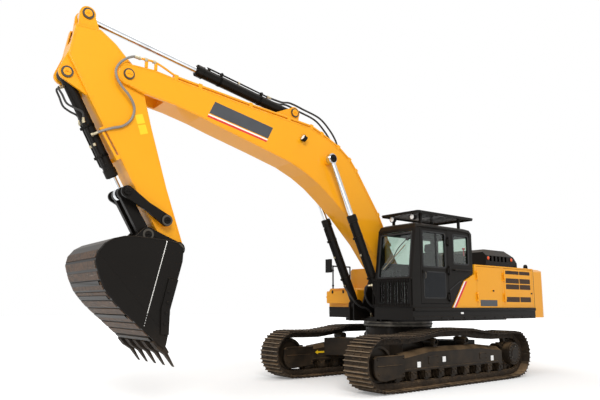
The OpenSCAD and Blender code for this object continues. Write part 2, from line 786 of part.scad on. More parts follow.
module lifting_eyes() {
  x = (weight_front + weight_rear) / -2;
  color(black) both() translate([x, hood_half + weight_chamfer, weight_top + seat]) difference() {
    union() {
      block([-eye_hole - eye_bar, -eye_bar, 0], [eye_hole + eye_bar, eye_bar, eye_hole + eye_bar]);
      bar([0, eye_hole + eye_bar], eye_hole + eye_bar, -eye_bar, eye_bar);
    }
    bar([0, eye_hole + eye_bar], eye_hole - eye_bar / 2, -eye_bar - cut, eye_bar + cut);
  }
}

// House: posts, top deck and fixed panels; the doors hang on pins in its posts.
house_top = weight_top;
house_low = deck_top + seat;
hinge_y = deck_half + hinge_reach;
hinge_rows = [house_low + hinge_length * 2, house_top - hinge_length * 3];
// A hinge on an upright axis at [x, y]: fixed knuckles with the pin; dir points to the leaf.
module hinge_pins(p, rows, dir, face) {
  for (z = rows) {
    translate([p[0], p[1], z - hinge_length / 2]) cylinder(h = hinge_length * 2, r = hinge_pin, $fn = 24);
    for (k = [-hinge_length / 2, hinge_length + side_play]) translate([0, 0, z + k]) {
      translate(p) cylinder(h = hinge_length / 2 - side_play, r = hinge_knuckle, $fn = 32);
      block([p[0], p[1], 0], [p[0] + dir * post_width / 2, face, hinge_length / 2 - side_play]);
    }
  }
}
module hinge_eyes(p, rows, dir, face) {
  difference() {
    union() {
      children();
      for (z = rows) translate([0, 0, z]) {
        translate(p) cylinder(h = hinge_length, r = hinge_knuckle, $fn = 32);
        block([p[0], p[1], 0], [p[0] + dir * post_width, face - sign(face - p[1]) * side_play,
          hinge_length]);
        block([p[0] + dir * door_gap * 3, p[1], 0], [p[0] + dir * post_width, face + sign(face) * -bite,
          hinge_length]);
      }
    }
    for (z = rows) translate([p[0], p[1], z - cut]) cylinder(h = hinge_length + cut * 2,
      r = hinge_pin + running_fit, $fn = 24);
  }
}
slant_side = [[slant_foot - door_gap * 2, cab_low], [-slant_knee - door_gap,
  slant_knee_height - door_gap * 2],
  [-cab_rear - door_gap, slant_head - door_gap * 3], [-house_front - bite, slant_head - door_gap * 3],
  [-house_front - bite, cab_low]];
module house() {
  inner = deck_half - panel;
  color(paint) difference() {
    union() {
      prism(slant_side, inner, deck_half);
      block([-house_front - panel, bracket_inner + bracket_plate + seat, house_low], [-house_front,
        deck_half, house_top]);
      block([-house_front - post_width, inner, house_low], [-house_front, deck_half, house_top]);
      block([-left_split - post_width, inner, house_low], [-left_split, deck_half, house_top]);
      block([-weight_front + post_width, inner, house_low], [-weight_front + seat, deck_half, house_top]);
      block([-right_split, -deck_half, house_low], [-right_split + post_width, -inner, house_top]);
      block([-weight_front + post_width, -deck_half, house_low], [-weight_front + seat, -inner, house_top]);
      block([-weight_front + seat, -deck_half, house_top - panel], [-house_front, deck_half, house_top]);
      block([-right_split, -deck_half + panel / 2, house_low], [-right_split + panel,
        -bracket_inner - bracket_plate - seat, house_top]);
    }
    block([-weight_front - cut, -hood_half + post_width, house_top - panel - cut],
      [-hood_front - post_width, hood_half - post_width, house_top + cut]);
    block([-right_split + post_width, -deck_half - cut, house_top - panel - cut], [cut, -bracket_inner,
      house_top + cut]);
    block([-right_split, -bracket_inner, house_top - panel - cut], [cut, bracket_inner, house_top + cut]);
  }
  color(paint) {
    hinge_pins([-house_front - post_width, hinge_y], hinge_rows, 1, deck_half - panel / 2);
    hinge_pins([-left_split - post_width, hinge_y], hinge_rows, 1, deck_half - panel / 2);
    hinge_pins([-right_split, -hinge_y], hinge_rows, 1, -deck_half + panel / 2);
    for (y = [-hood_half * 2 / 3, hood_half * 2 / 3]) {
      bar([-hood_front + hinge_knuckle, hood_low + hinge_knuckle], hinge_pin, y - hinge_length,
        y + hinge_length);
      for (k = [-hinge_length, hinge_length / 2 + side_play]) {
        bar([-hood_front + hinge_knuckle, hood_low + hinge_knuckle], hinge_knuckle, y + k,
          y + k + hinge_length / 2 - side_play);
        block([-hood_front + hinge_knuckle, y + k, house_top - bite], [-hood_front + hinge_knuckle * 2,
          y + k + hinge_length / 2 - side_play, hood_low + hinge_knuckle]);
      }
    }
  }
}
module side_door(front, rear, side) {
  hinge_eyes([-front, side * hinge_y], hinge_rows, -1, side * deck_half)
    block([-front - door_gap, side * (deck_half - panel), house_low + door_gap],
      [-rear + door_gap, side * deck_half, house_top - panel - door_gap]);
}
module louvres(x0, x1, z, side) {
  difference() {
    children();
    block([x0, side * (deck_half - panel - cut), z], [x1, side * (deck_half + cut), z + louvre_height]);
  }
  for (k = [1 : 4]) translate([0, 0, z + k * louvre_height / 5])
    block([x0 - bite, side * (deck_half - panel + bite), -louvre_blade / 2], [x1 + bite,
      side * (deck_half - bite), louvre_blade / 2]);
}
module left_front_door() {
  color(paint) side_door(house_front + post_width, left_split, 1);
}
module left_rear_door() {
  x0 = -weight_front + post_width * 3;
  x1 = -left_split - post_width * 7;
  color(paint) louvres(x0, x1, house_top - louvre_height * 2.4, 1) louvres(x0, x1,
    house_top - louvre_height * 3.9, 1)
    louvres(x0, x1, house_top - louvre_height * 5.4, 1) side_door(left_split + post_width,
      weight_front - post_width, 1);
}
module right_rear_door() {
  color(paint) side_door(right_split, weight_front - post_width, -1);
}
hood_side = [[-hood_rear, hood_low], [-hood_front, hood_low], [-hood_front, hood_top - hood_chamfer / 2],
  [-hood_front - hood_chamfer, hood_top], [-hood_rear + hood_slope, hood_top], [-hood_rear,
    hood_low + hood_chamfer]];
hood_ends = [[-hood_half, hood_low], [hood_half, hood_low], [hood_half, hood_top - hood_chamfer],
  [hood_half - hood_chamfer, hood_top],
  [hood_chamfer - hood_half, hood_top], [-hood_half, hood_top - hood_chamfer]];
module hood() {
  hinge = [-hood_front + hinge_knuckle, hood_low + hinge_knuckle];
  color(black) difference() {
    union() {
      difference() {
        intersection() {
          prism(hood_side, -hood_half, hood_half);
          translate([-hood_rear, 0, 0]) rotate([90, 0,
            90]) linear_extrude(height = hood_rear - hood_front) polygon(hood_ends);
        }
        intersection() {
          prism(inset(hood_side, sheet), -hood_half, hood_half);
          translate([-hood_rear, 0, 0]) rotate([90, 0,
            90]) linear_extrude(height = hood_rear - hood_front) polygon(inset(hood_ends, sheet));
        }
        block([-hood_rear + sheet, -hood_half + sheet, hood_low - cut], [-hood_front - sheet,
          hood_half - sheet, hood_low + panel]);
        both() for (k = [0 : 4]) block([-hood_front - hood_chamfer - k * hood_chamfer,
          hood_half - panel - cut, hood_top - hood_chamfer - louvre_height],
          [-hood_front - hood_chamfer / 2 - (k + 1) * hood_chamfer, hood_half + cut,
            hood_top - hood_chamfer - louvre_blade]);
      }
      for (y = [-hood_half * 2 / 3, hood_half * 2 / 3]) {
        bar(hinge, hinge_knuckle, y - hinge_length / 2 + side_play, y + hinge_length / 2);
        block([hinge[0] - hinge_knuckle * 2, y - hinge_length / 2 + side_play, hinge[1]], [hinge[0],
          y + hinge_length / 2, hinge[1] + hinge_knuckle]);
      }
    }
    bar(hinge, hinge_pin + running_fit, -hood_half, hood_half);
    for (y = [-hood_half * 2 / 3, hood_half * 2 / 3]) {
      block([hinge[0] - hinge_knuckle * 2, y - hinge_length - side_play, hood_low - cut],
        [hinge[0] + cut * 2, y - hinge_length / 2, hinge[1] + hinge_knuckle + side_play]);
      block([hinge[0] - hinge_knuckle * 2, y + hinge_length / 2 + side_play / 2, hood_low - cut],
        [hinge[0] + cut * 2, y + hinge_length + side_play * 2, hinge[1] + hinge_knuckle + side_play]);
    }
  }
}
module engine() {
  color(steel) translate([-engine_behind - engine_length / 2, -engine_width / 2,
    deck_top + seat]) cube([engine_length, engine_width, engine_height]);
}
function tank_end(y0, y1, z0, z1) = [[y0, z0], [y1, z0], [y1, z1 - tank_edge], [y1 - tank_edge, z1],
  [y0 + tank_edge, z1], [y0, z1 - tank_edge]];
module tank_box(x0, x1, y0, y1, z0, z1) {
  translate([x0, 0, 0]) rotate([90, 0, 90]) difference() {
    linear_extrude(height = x1 - x0) polygon(tank_end(y0, y1, z0, z1));
    translate([0, 0, sheet]) linear_extrude(height = x1 - x0 - sheet * 2) polygon(inset(tank_end(y0, y1,
      z0, z1), sheet));
  }
}
module toolbox() {
  color(paint) tank_box(-toolbox_rear, deck_front_right, -deck_half, -tank_inner, deck_top + seat,
    toolbox_top);
  color(black) block([deck_front_right - bite, -deck_half + tank_edge, (deck_top + toolbox_top) / 2],
    [deck_front_right + cap_radius * 2, -deck_half * 2 / 3, (deck_top + toolbox_top) / 2 + beam_wall]);
}
module tanks() {
  color(paint) {
    tank_box(-fuel_rear, -toolbox_rear - door_gap, -deck_half, -tank_inner, deck_top + seat, house_top);
    tank_box(-right_split + post_width + seat, -fuel_rear - door_gap, -deck_half, -tank_inner,
      deck_top + seat, house_top);
  }
  color(black) for (x = [fuel_rear / 2, (fuel_rear + right_split) / 2]) translate([-x, -deck_half * 2 / 3,
    house_top - bite])
    cylinder(h = cap_height + bite, r = cap_radius, $fn = 40);
}

cab_side = [[slant_foot, cab_low], [cab_front, cab_low], [cab_front, cab_waist], [cab_brow,
  cab_top - cab_round],
  [cab_brow - cab_round * 0.3, cab_top - cab_round * 0.3], [cab_brow - cab_round, cab_top],
    [-cab_rear + cab_round, cab_top],
  [-cab_rear + cab_round * 0.3, cab_top - cab_round * 0.3], [-cab_rear, cab_top - cab_round], [-cab_rear,
    slant_head], [-slant_knee, slant_knee_height]];
function cab_ends(d) = [[cab_inner + d, cab_low], [cab_outer - d, cab_low], [cab_outer - d,
  cab_top - cab_round],
  [cab_outer - d - cab_round * 0.3, cab_top - d - cab_round * 0.3], [cab_outer - d - cab_round,
    cab_top - d],
  [cab_inner + d + cab_round, cab_top - d], [cab_inner + d + cab_round * 0.3,
    cab_top - d - cab_round * 0.3], [cab_inner + d, cab_top - cab_round]];
module cab_shape(d) {
  intersection() {
    prism(inset(cab_side, d), cab_inner, cab_outer);
    translate([-cab_rear, 0, 0]) rotate([90, 0,
      90]) linear_extrude(height = cab_rear + cab_front) polygon(cab_ends(d));
  }
}
door_hinge = [door_rear - door_gap, cab_outer + hinge_reach];
door_rows = [door_low + hinge_length, door_sill - hinge_length, door_top - hinge_length * 3];
windscreen = [cab_inner + window_post, cab_outer - window_post];
function screen_x(z) = cab_front + (z - cab_waist) / (cab_top - cab_round - cab_waist) * (cab_brow -
  cab_front);
module window_cuts(e) {
  prism([[screen_x(cab_waist) - cab_wall - e, cab_waist + panel], [cab_front + e, cab_waist + panel],
    [cab_front + e, window_head],
    [screen_x(window_head) - cab_wall - e, window_head]], windscreen[0], windscreen[1]);
  block([cab_front - cab_wall - e, windscreen[0], door_low], [cab_front + e, windscreen[1],
    cab_waist - panel]);
  block([-quarter_rear, cab_outer - cab_wall - e, window_sill], [-quarter_front, cab_outer + e,
    window_head]);
  block([-quarter_rear, cab_inner - e, window_sill], [door_front, cab_inner + cab_wall + e, window_head]);
  block([-cab_rear - e, windscreen[0], window_sill], [-cab_rear + cab_wall + e, windscreen[1],
    window_head]);
}
module cab() {
  color(black) difference() {
    cab_shape(0);
    cab_shape(cab_wall);
    window_cuts(cut);
    block([door_rear, cab_outer - cab_wall - cut, door_low], [door_front, cab_outer + cut, door_top]);
  }
  color(black) hinge_pins(door_hinge, door_rows, -1, cab_outer - bite);
}
module cab_glass() {
  color("#9FB3B0") difference() {
    intersection() {
      window_cuts(-seat);
      difference() {
        cab_shape(cab_wall / 2 - pane / 2);
        cab_shape(cab_wall / 2 + pane / 2);
      }
    }
  }
}
module cab_door() {
  y0 = cab_outer - cab_wall;
  color(black) hinge_eyes(door_hinge, door_rows, 1, cab_outer) difference() {
    union() {
      block([door_rear + door_gap, y0, door_low + door_gap], [door_front - door_gap, cab_outer,
        door_top - door_gap]);
      block([door_front - post_width * 3, cab_outer - bite, door_sill - post_width * 2],
        [door_front - post_width, cab_outer + hinge_knuckle, door_sill - post_width]);
    }
    block([door_rear + door_frame, y0 - cut, door_sill], [door_front - door_frame, cab_outer + cut,
      window_head]);
  }
}
module door_glass() {
  y = cab_outer - cab_wall / 2;
  color("#9FB3B0") block([door_rear + door_frame + seat, y - pane / 2, door_sill + seat],
    [door_front - door_frame - seat, y + pane / 2, window_head - seat]);
}
seat_mid = (cab_inner + cab_outer) / 2;
cab_floor = cab_low + cab_wall;
module seat() {
  x0 = slant_foot + cab_wall * 2;
  top = cab_floor + seat_rise;
  color(black) {
    block([x0, seat_mid - seat_width / 3, cab_floor + seat], [x0 + seat_width * 0.8,
      seat_mid + seat_width / 3, top - seat_pad]);
    block([x0, seat_mid - seat_width / 2, top - seat_pad - bite], [x0 + seat_width,
      seat_mid + seat_width / 2, top]);
    prism([[x0, top - bite], [x0 + seat_pad, top - bite], [x0 - seat_pad / 2, top + seat_back],
      [x0 - seat_pad * 3 / 2, top + seat_back]],
      seat_mid - seat_width / 2, seat_mid + seat_width / 2);
  }
}
module console() {
  x0 = slant_foot + cab_wall * 3;
  top = cab_floor + seat_rise + seat_pad;
  color(black) for (s = [-1, 1]) {
    y = seat_mid + s * (seat_width / 2 + seat_pad * 0.7);
    block([x0, y - seat_pad / 2, cab_floor + seat], [x0 + seat_width, y + seat_pad / 2, top]);
    translate([x0 + seat_width - seat_pad / 2, y, top - bite]) cylinder(h = seat_pad + bite,
      r = rail_tube, $fn = 24);
    translate([x0 + seat_width - seat_pad / 2, y, top + seat_pad]) sphere(r = rail_tube * 2, $fn = 24);
  }
}
module roof_guard() {
  low = guard_top - guard_plate;
  pitch = (cab_outer - cab_inner) / guard_slots;
  color(black) {
    difference() {
      block([-guard_rear, cab_inner, low], [guard_front, cab_outer, guard_top]);
      for (i = [0 : guard_slots - 1], x = [0,
        1]) translate([-guard_rear + guard_post * 2 + x * (guard_front + guard_rear) / 2,
        cab_inner + (i + 1 / 2) * pitch - guard_slot / 2, low - cut])
        cube([(guard_front + guard_rear) / 2 - guard_post * 4, guard_slot, guard_plate + cut * 2]);
    }
    for (x = [-cab_rear + cab_round * 2, cab_brow - cab_round * 3], y = [cab_inner + cab_round,
      cab_outer - cab_round - guard_post])
      block([x, y, cab_top + seat], [x + guard_post, y + guard_post, low + bite]);
  }
}
module front_guard() {
  x = cab_front + bar_reach;
  span = cab_outer - cab_inner - window_post;
  color(black) {
    for (i = [0 : bar_count - 1]) translate([x, cab_inner + window_post / 2 + i * span / (bar_count - 1),
      cab_low + cut]) cylinder(h = cab_waist - cab_low - cut * 2, r = bar_radius, $fn = 24);
    for (z = [cab_low + cut * 2, cab_waist - cut * 3]) block([x - bar_radius, cab_inner, z],
      [x + bar_radius, cab_outer - cut, z + cut]);
    for (y = [cab_inner, cab_outer - cut * 2], z = [cab_low + cut * 2,
      cab_waist - cut * 3]) block([cab_front + seat, y, z], [x, y + cut, z + cut]);
  }
}
module cab_lamps() {
  x = guard_front - lamp_depth * 2;
  color(black) for (y = [cab_inner + cab_round * 2, cab_outer - cab_round * 2]) {
    translate([x, y, guard_top - guard_plate - lamp_radius - cut]) rotate([0, 90,
      0]) cylinder(h = lamp_depth, r = lamp_radius, $fn = 40);
    block([x + cut, y - cut, guard_top - guard_plate - cut * 2], [x + cut * 2, y + cut,
      guard_top - guard_plate - seat]);
  }
}
module handrails() {
  z = toolbox_top + seat;
  y = -deck_half + rail_tube * 4;
  color(black) {
    rail([[deck_front_right - post_width, y, z], [deck_front_right - post_width, y, z + rail_rise],
      [cap_radius, y, z + rail_rise], [cap_radius, y, z]], rail_tube);
    rail([[-quarter_front, cab_outer + seat, window_sill - post_width * 2], [-quarter_front,
      cab_outer + rail_tube * 2, window_sill - post_width * 2],
      [-quarter_rear, cab_outer + rail_tube * 2, window_sill - post_width * 2], [-quarter_rear,
        cab_outer + seat, window_sill - post_width * 2]], rail_tube);
  }
}
module mirrors() {
  y = -deck_half + rail_tube * 4;
  z = toolbox_top + rail_rise - mirror_height / 2;
  x = deck_front_right - post_width + rail_tube + seat;
  color(black) {
    block([x, y - rail_tube, z + mirror_height / 2], [x + mirror_width / 2, y + rail_tube,
      z + mirror_height / 2 + rail_tube]);
    block([x + mirror_width / 2 - bite, y - mirror_width / 2, z], [x + mirror_width / 2 + cut * 2,
      y + mirror_width / 2, z + mirror_height]);
  }
}

boom_shares = [[0, -0.026], [0.07, -0.012], [0.15, 0.024], [0.258, 0.058], [0.335, 0.075], [0.39, 0.085],
  [0.445, 0.088], [0.507, 0.084],
  [0.613, 0.063], [0.74, 0.036], [0.80, 0.025], [0.87, 0.008], [0.95, -0.018], [1, -0.026], [1.008,
    0.025], [0.955, 0.052], [0.90, 0.07],
  [0.836, 0.0936], [0.69, 0.147], [0.568, 0.194], [0.49, 0.223], [0.448, 0.227], [0.405, 0.23], [0.377,
    0.229], [0.323, 0.22], [0.286, 0.204],
  [0.22, 0.17], [0.146, 0.128], [0.06, 0.066], [-0.008, 0.025]];
boom_outline = sized(boom_shares, boom_length);
boom_hollow_shares = [0.05, 0.87];
module boom() {
  nose_local = [boom_length, 0];
  hollow = sized([boom_hollow_shares], boom_length)[0];
  color(paint) in_boom() difference() {
    union() {
      difference() {
        prism(boom_outline, -boom_half, boom_half);
        intersection() {
          prism(inset(boom_outline, boom_plate), -boom_half + boom_plate, boom_half - boom_plate);
          block([hollow[0], -boom_half, -boom_half], [hollow[1], boom_half, boom_length]);
        }
        bar(nose_local, fork_slot, -fork_inner, fork_inner);
      }
      both() bar(nose_local, boss_radius, fork_inner, boom_half);
      bar([0, 0], boss_radius, -foot_half, foot_half);
      both() bar(lift_pin, eye_radius, boom_half - bite, lift_offset - lift_rod - side_play);
      both() difference() {
        union() {
          bar(crowd_base, ear_radius, ear_inner, ear_inner + ear_plate);
          prism([crowd_base + [-ear_radius, 0], crowd_base + [-ear_radius * 2, -ear_radius * 3],
            crowd_base + [ear_radius * 4, -ear_radius * 3.4],
            crowd_base + [ear_radius * 0.9, ear_radius * 0.4]], ear_inner, ear_inner + ear_plate);
        }
        prism(inset(boom_outline, bite), 0, boom_half);
      }
    }
    bar([0, 0], pin_radius + seat, -foot_half - cut, foot_half + cut);
    bar(nose_local, pin_radius + seat, -boom_half - cut, boom_half + cut);
    bar(crowd_base, pin_radius + seat, -boom_half, boom_half);
  }
}
module boom_pins() {
  outer = bracket_inner + bracket_plate;
  color(steel) in_boom() {
    bar([0, 0], pin_radius, -outer, outer);
    bar([boom_length, 0], pin_radius, -boom_half - pin_head, boom_half + pin_head);
    both() bar([boom_length, 0], head_radius, boom_half + seat, boom_half + pin_head);
    bar(crowd_base, pin_radius, -ear_inner - ear_plate - pin_head, ear_inner + ear_plate + pin_head);
    both() bar(crowd_base, head_radius, ear_inner + ear_plate + seat, ear_inner + ear_plate + pin_head);
  }
}
module boom_pipes() {
  color(paint) in_boom() pipes(boom_outline, [16, 17, 18, 19, 20, 21, 23, 24, 25, 27, 28],
    [boom_half - pipe_radius * 1.2, boom_half - pipe_radius * 3.5], pipe_radius);
}
module boom_lamp() {
  lamp_shares = [0.505, 0.17];
  color(black) in_boom() translate([lamp_shares[0] * boom_length, boom_half + seat,
    lamp_shares[1] * boom_length]) {
    block([-lamp_radius / 2, 0, -lamp_radius / 2], [lamp_radius / 2, lamp_depth, lamp_radius / 2]);
    translate([-lamp_depth / 2, lamp_depth, 0]) rotate([0, 90, 0]) cylinder(h = lamp_depth,
      r = lamp_radius, $fn = 40);
  }
}

arm_shares = [[-0.26, 0.076], [-0.177, 0.015], [-0.102, -0.022], [-0.03, -0.062], [0.126, -0.064], [0.312,
  -0.0515], [0.657, -0.0385], [1, -0.04],
  [1, 0.04], [0.87, 0.085], [0.665, 0.129], [0.432, 0.172], [0.27, 0.2085], [-0.139, 0.287], [-0.298, 0.2]];
arm_scale = arm_height / max([for (p = arm_shares) p[1]]);
arm_outline = [for (p = arm_shares) [p[0] * (p[0] < 0 ? arm_scale : arm_length), p[1] * arm_scale]];
arm_hollow_shares = [0.1, 0.74];
module arm() {
  tip_local = [arm_length, 0];
  hollow = sized([arm_hollow_shares], arm_length)[0];
  color(paint) in_arm() difference() {
    union() {
      difference() {
        union() {
          prism(arm_outline, -arm_half, arm_half);
          bar([0, 0], arm_boss, -arm_half, arm_half);
          bar(tip_local, tip_boss, -arm_half, arm_half);
        }
        intersection() {
          prism(inset(arm_outline, arm_plate), -arm_half + arm_plate, arm_half - arm_plate);
          union() {
            block([hollow[0], -arm_half, -arm_half], [hollow[1], arm_half, arm_length]);
            block([-arm_length, -arm_half, arm_boss + arm_plate], [hollow[0] + bite, arm_half, arm_length]);
          }
        }
      }
      both() {
        bar(crowd_pin, ear_radius, ear_inner, ear_inner + ear_plate);
        prism([crowd_pin + [-ear_radius * 0.6, -ear_radius * 0.8], crowd_pin + [ear_radius * 3,
          -ear_radius * 0.9],
          crowd_pin + [ear_radius * 3, ear_radius * 2.4], crowd_pin + [-ear_radius * 0.3,
            ear_radius * 0.95]], ear_inner, ear_inner + ear_plate);
        bar(curl_base, ear_radius, ear_inner, ear_inner + ear_plate);
        prism([curl_base + [-ear_radius * 3, -ear_radius * 1.2], curl_base + [ear_radius * 4,
          -ear_radius * 2.4],
          curl_base + [ear_radius * 0.9, ear_radius * 0.5], curl_base + [-ear_radius * 0.6,
            ear_radius * 0.8]], ear_inner, ear_inner + ear_plate);
        bar(guide_pin, guide_end, arm_half - bite, guide_inner - side_play);
      }
    }
    bar(crowd_pin, eye_slot, -ear_inner, ear_inner);
    bar([0, 0], pin_radius + running_fit, -arm_half - cut, arm_half + cut);
    bar(tip_local, pin_radius + running_fit, -arm_half - cut, arm_half + cut);
    bar(curl_base, link_pin + seat, -arm_half, arm_half);
    bar(crowd_pin, link_pin + seat, -arm_half, arm_half);
    bar(guide_pin, link_pin + seat, -guide_inner, guide_inner);
  }
}
module arm_pins() {
  outer = ear_inner + ear_plate;
  color(steel) in_arm() {
    bar(curl_base, link_pin, -outer - pin_head, outer + pin_head);
    both() bar(curl_base, head_radius, outer + seat, outer + pin_head);
    both() bar(crowd_pin, link_pin, ear_inner, outer + pin_head);
    both() bar(crowd_pin, head_radius, outer + seat, outer + pin_head);
    bar(guide_pin, link_pin, -guide_inner - guide_plate - pin_head, guide_inner + guide_plate + pin_head);
    both() bar(guide_pin, head_radius, guide_inner + guide_plate + side_play,
      guide_inner + guide_plate + pin_head);
  }
}
module arm_pipes() {
  color(paint) in_arm() pipes(arm_outline, [11, 12], [arm_half - pipe_radius * 1.2], pipe_radius);
}

shell_shares = [[0.03, 0.075], [-0.012, 0.14], [-0.015, 0.24], [0.0, 0.50], [0.016, 0.592], [0.05, 0.675],
  [0.10, 0.74], [0.17, 0.782], [0.25, 0.787],
  [0.355, 0.742], [0.456, 0.678], [0.554, 0.575], [0.717, 0.342], [0.865, 0.13]];
mouth_shares = [[0.83, 0.11], [0.75, 0.105], [0.55, 0.125], [0.30, 0.09], [0.14, 0.068]];
shell = sized(shell_shares, tip_radius);
mouth = sized(mouth_shares, tip_radius);
// The outline runs clockwise, so its inner side is an inset by a negative depth.
bucket_outline = concat(shell, mouth);
bucket_inside = inset(bucket_outline, -bucket_plate);
module bucket() {
  inner = [for (i = [0 : len(shell) - 1]) bucket_inside[i]];
  color(black) in_bucket() difference() {
    union() {
      difference() {
        prism(bucket_outline, -bucket_half, bucket_half);
        prism(concat(inner, [[inner[len(inner) - 1][0] + bucket_plate, -tip_boss * 4],
          [inner[0][0] + bucket_plate, -tip_boss * 4]]), -bucket_half + bucket_plate,
          bucket_half - bucket_plate);
      }
      both() difference() {
        union() {
          bar([0, 0], hinge_ear_radius, hinge_ear_inner, hinge_ear_inner + hinge_ear_plate);
          bar(link_low, hinge_ear_radius, hinge_ear_inner, hinge_ear_inner + hinge_ear_plate);
          prism([[hinge_ear_radius * 0.9, -hinge_ear_radius * 0.3], [hinge_ear_radius * 1.5,
            hinge_ear_radius * 2], [hinge_ear_radius, link_pin_rise * 1.6],
            link_low + [-hinge_ear_radius * 0.5, hinge_ear_radius * 0.9], link_low + [-hinge_ear_radius,
              0], [-hinge_ear_radius, hinge_ear_radius * 0.3]],
            hinge_ear_inner, hinge_ear_inner + hinge_ear_plate);
        }
        prism(concat(inner, [[inner[len(inner) - 1][0] + bucket_plate, hinge_ear_radius * 1.2],
          [inner[0][0] + bucket_plate, hinge_ear_radius * 1.2]]), 0, bucket_half);
      }
      both() prism([mouth[1], mouth[2], mouth[3], mouth[3] + [0, tip_boss * 1.3], mouth[2] + [0,
        tip_boss * 1.2], mouth[1] + [0, tip_boss * 1.1]],
        bucket_half - bite, bucket_half + cutter_plate);
      for (k = [9, 10, 11, 12]) let(p = bucket_outline[k], q = bucket_outline[k + 1], u = unit(q - p),
        m = (p + q) / 2, o = left(u))
        prism([m - u * strip_width / 2 - o * bite, m + u * strip_width / 2 - o * bite,
          m + u * strip_width / 2 + o * strip_plate, m - u * strip_width / 2 + o * strip_plate],
          -bucket_half + strip_width, bucket_half - strip_width);
    }
    bar([0, 0], pin_radius + seat, -bucket_half, bucket_half);
    bar(link_low, link_pin + seat, -bucket_half, bucket_half);
  }
}
module bucket_teeth() {
  lip = bucket_outline[len(shell) - 1];
  back = bucket_outline[len(shell) - 2];
  u = unit(lip - back);
  o = left(u);
  color(steel) in_bucket() for (i = [0 : tooth_count - 1]) {
    y = -tooth_reach + i * 2 * tooth_reach / (tooth_count - 1);
    prism([lip - u * adapter_width * 1.4 + o * seat, lip + u * seat + o * seat,
      lip + u * seat - o * bucket_plate * 2, lip + u * adapter_width * 0.8 - o * bucket_plate,
      lip + u * adapter_width * 0.8 + o * bucket_plate * 0.8,
        lip - u * adapter_width * 0.4 + o * bucket_plate * 1.6,
        lip - u * adapter_width * 1.4 + o * bucket_plate],
      y - adapter_width / 2, y + adapter_width / 2);
    prism([lip + u * adapter_width * 0.5 - o * bucket_plate * 0.9, [tip_radius, 0],
      lip + u * adapter_width * 0.6 + o * bucket_plate * 0.8], y - tooth_width / 2, y + tooth_width / 2);
  }
}
module bucket_pins() {
  outer = hinge_ear_inner + hinge_ear_plate;
  head = guide_inner - outer - side_play / 2;
  color(steel) in_bucket() {
    bar([0, 0], pin_radius, -outer - head, outer + head);
    both() bar([0, 0], head_radius, outer + seat, outer + head);
    bar(link_low, link_pin, -outer - head, outer + head);
    both() bar(link_low, head_radius, outer + seat, outer + head);
  }
}
module guide_links() {
  u = unit(knee_world - guide_world);
  o = left(u);
  m = (guide_world + knee_world) / 2;
  color(black) both() difference() {
    union() {
      bar(guide_world, guide_end, guide_inner, guide_inner + guide_plate);
      bar(knee_world, guide_end, guide_inner, guide_inner + guide_plate);
      prism([guide_world - o * guide_end, m - o * guide_waist, knee_world - o * guide_end,
        knee_world + o * guide_end, m + o * guide_waist, guide_world + o * guide_end],
        guide_inner, guide_inner + guide_plate);
      bar(knee_world, link_pin, link_ear_outer + side_play, guide_inner + guide_plate + pin_head);
    }
    bar(guide_world, link_pin + running_fit, guide_inner - cut, guide_inner + guide_plate + cut);
  }
}
module bucket_link() {
  u = unit(knee_world - link_world);
  o = left(u);
  a = link_world + u * link_length * 0.12;
  b = link_world + u * link_length * 0.42;
  color(black) difference() {
    union() {
      bar(link_world, link_boss, -link_half, link_half);
      both() {
        bar(knee_world, link_boss, link_ear_inner, link_ear_outer);
        prism([link_world - o * link_boss, knee_world - o * link_boss * 0.9,
          knee_world + o * link_boss * 0.9, link_world + o * link_boss], link_ear_inner, link_ear_outer);
      }
      prism([a - o * link_boss * 0.5, b - o * link_boss * 0.5, b + o * link_boss * 0.5,
        a + o * link_boss * 0.5], -link_ear_outer, link_ear_outer);
    }
    bar(link_world, link_pin + running_fit, -link_half - cut, link_half + cut);
  }
}

module barrel(r, length, rod, pin, neck) {
  difference() {
    union() {
      translate([0, 0, neck]) cylinder(h = length - neck, r = r, $fn = 64);
      translate([0, 0, length - gland_length]) cylinder(h = gland_length, r = r + gland_step, $fn = 64);
      rotate([90, 0, 0]) translate([0, 0, -eye_half]) cylinder(h = eye_half * 2, r = eye_radius, $fn = 64);
      translate([-r * 0.8, -eye_half, 0]) cube([r * 1.6, eye_half * 2, neck + bite]);
    }
    translate([0, 0, neck + barrel_end / 2]) cylinder(h = length - gland_length / 2 - neck - barrel_end / 2,
      r = r - barrel_wall, $fn = 64);
    translate([0, 0, neck + barrel_end / 2]) cylinder(h = length, r = rod + running_fit, $fn = 64);
    rotate([90, 0, 0]) translate([0, 0, -r * 2]) cylinder(h = r * 4, r = pin + running_fit, $fn = 48);
  }
}
module rod_eye(r, length, barrel_r, reach) {
  translate([0, 0, reach - length]) cylinder(h = length, r = r, $fn = 48);
  translate([0, 0, reach - length]) cylinder(h = piston_length, r = barrel_r - barrel_wall - seat * 3,
    $fn = 64);
  translate([0, 0, reach]) rotate([90, 0, 0]) translate([0, 0, -eye_half]) cylinder(h = eye_half * 2,
    r = eye_radius, $fn = 64);
}
module lift_barrels() {
  color(black) both() translate([0, lift_offset, 0]) along(lift_base, lift_world) barrel(lift_barrel,
    lift_length, lift_rod, pin_radius, barrel_end * 1.2);
}
module lift_rods() {
  color(chrome) both() translate([0, lift_offset, 0]) {
    along(lift_base, lift_world) rod_eye(lift_rod, lift_rod_length, lift_barrel,
      norm(lift_world - lift_base));
    bar(lift_world, head_radius, eye_half - bite, eye_half + pin_head);
  }
}
module crowd_barrel_tube() {
  color(black) along(crowd_base_world, crowd_world) barrel(crowd_barrel, crowd_length, crowd_rod,
    pin_radius, barrel_end / 2);
}
module crowd_rod_eye() {
  color(chrome) along(crowd_base_world, crowd_world) rod_eye(crowd_rod, crowd_rod_length, crowd_barrel,
    norm(crowd_world - crowd_base_world));
}
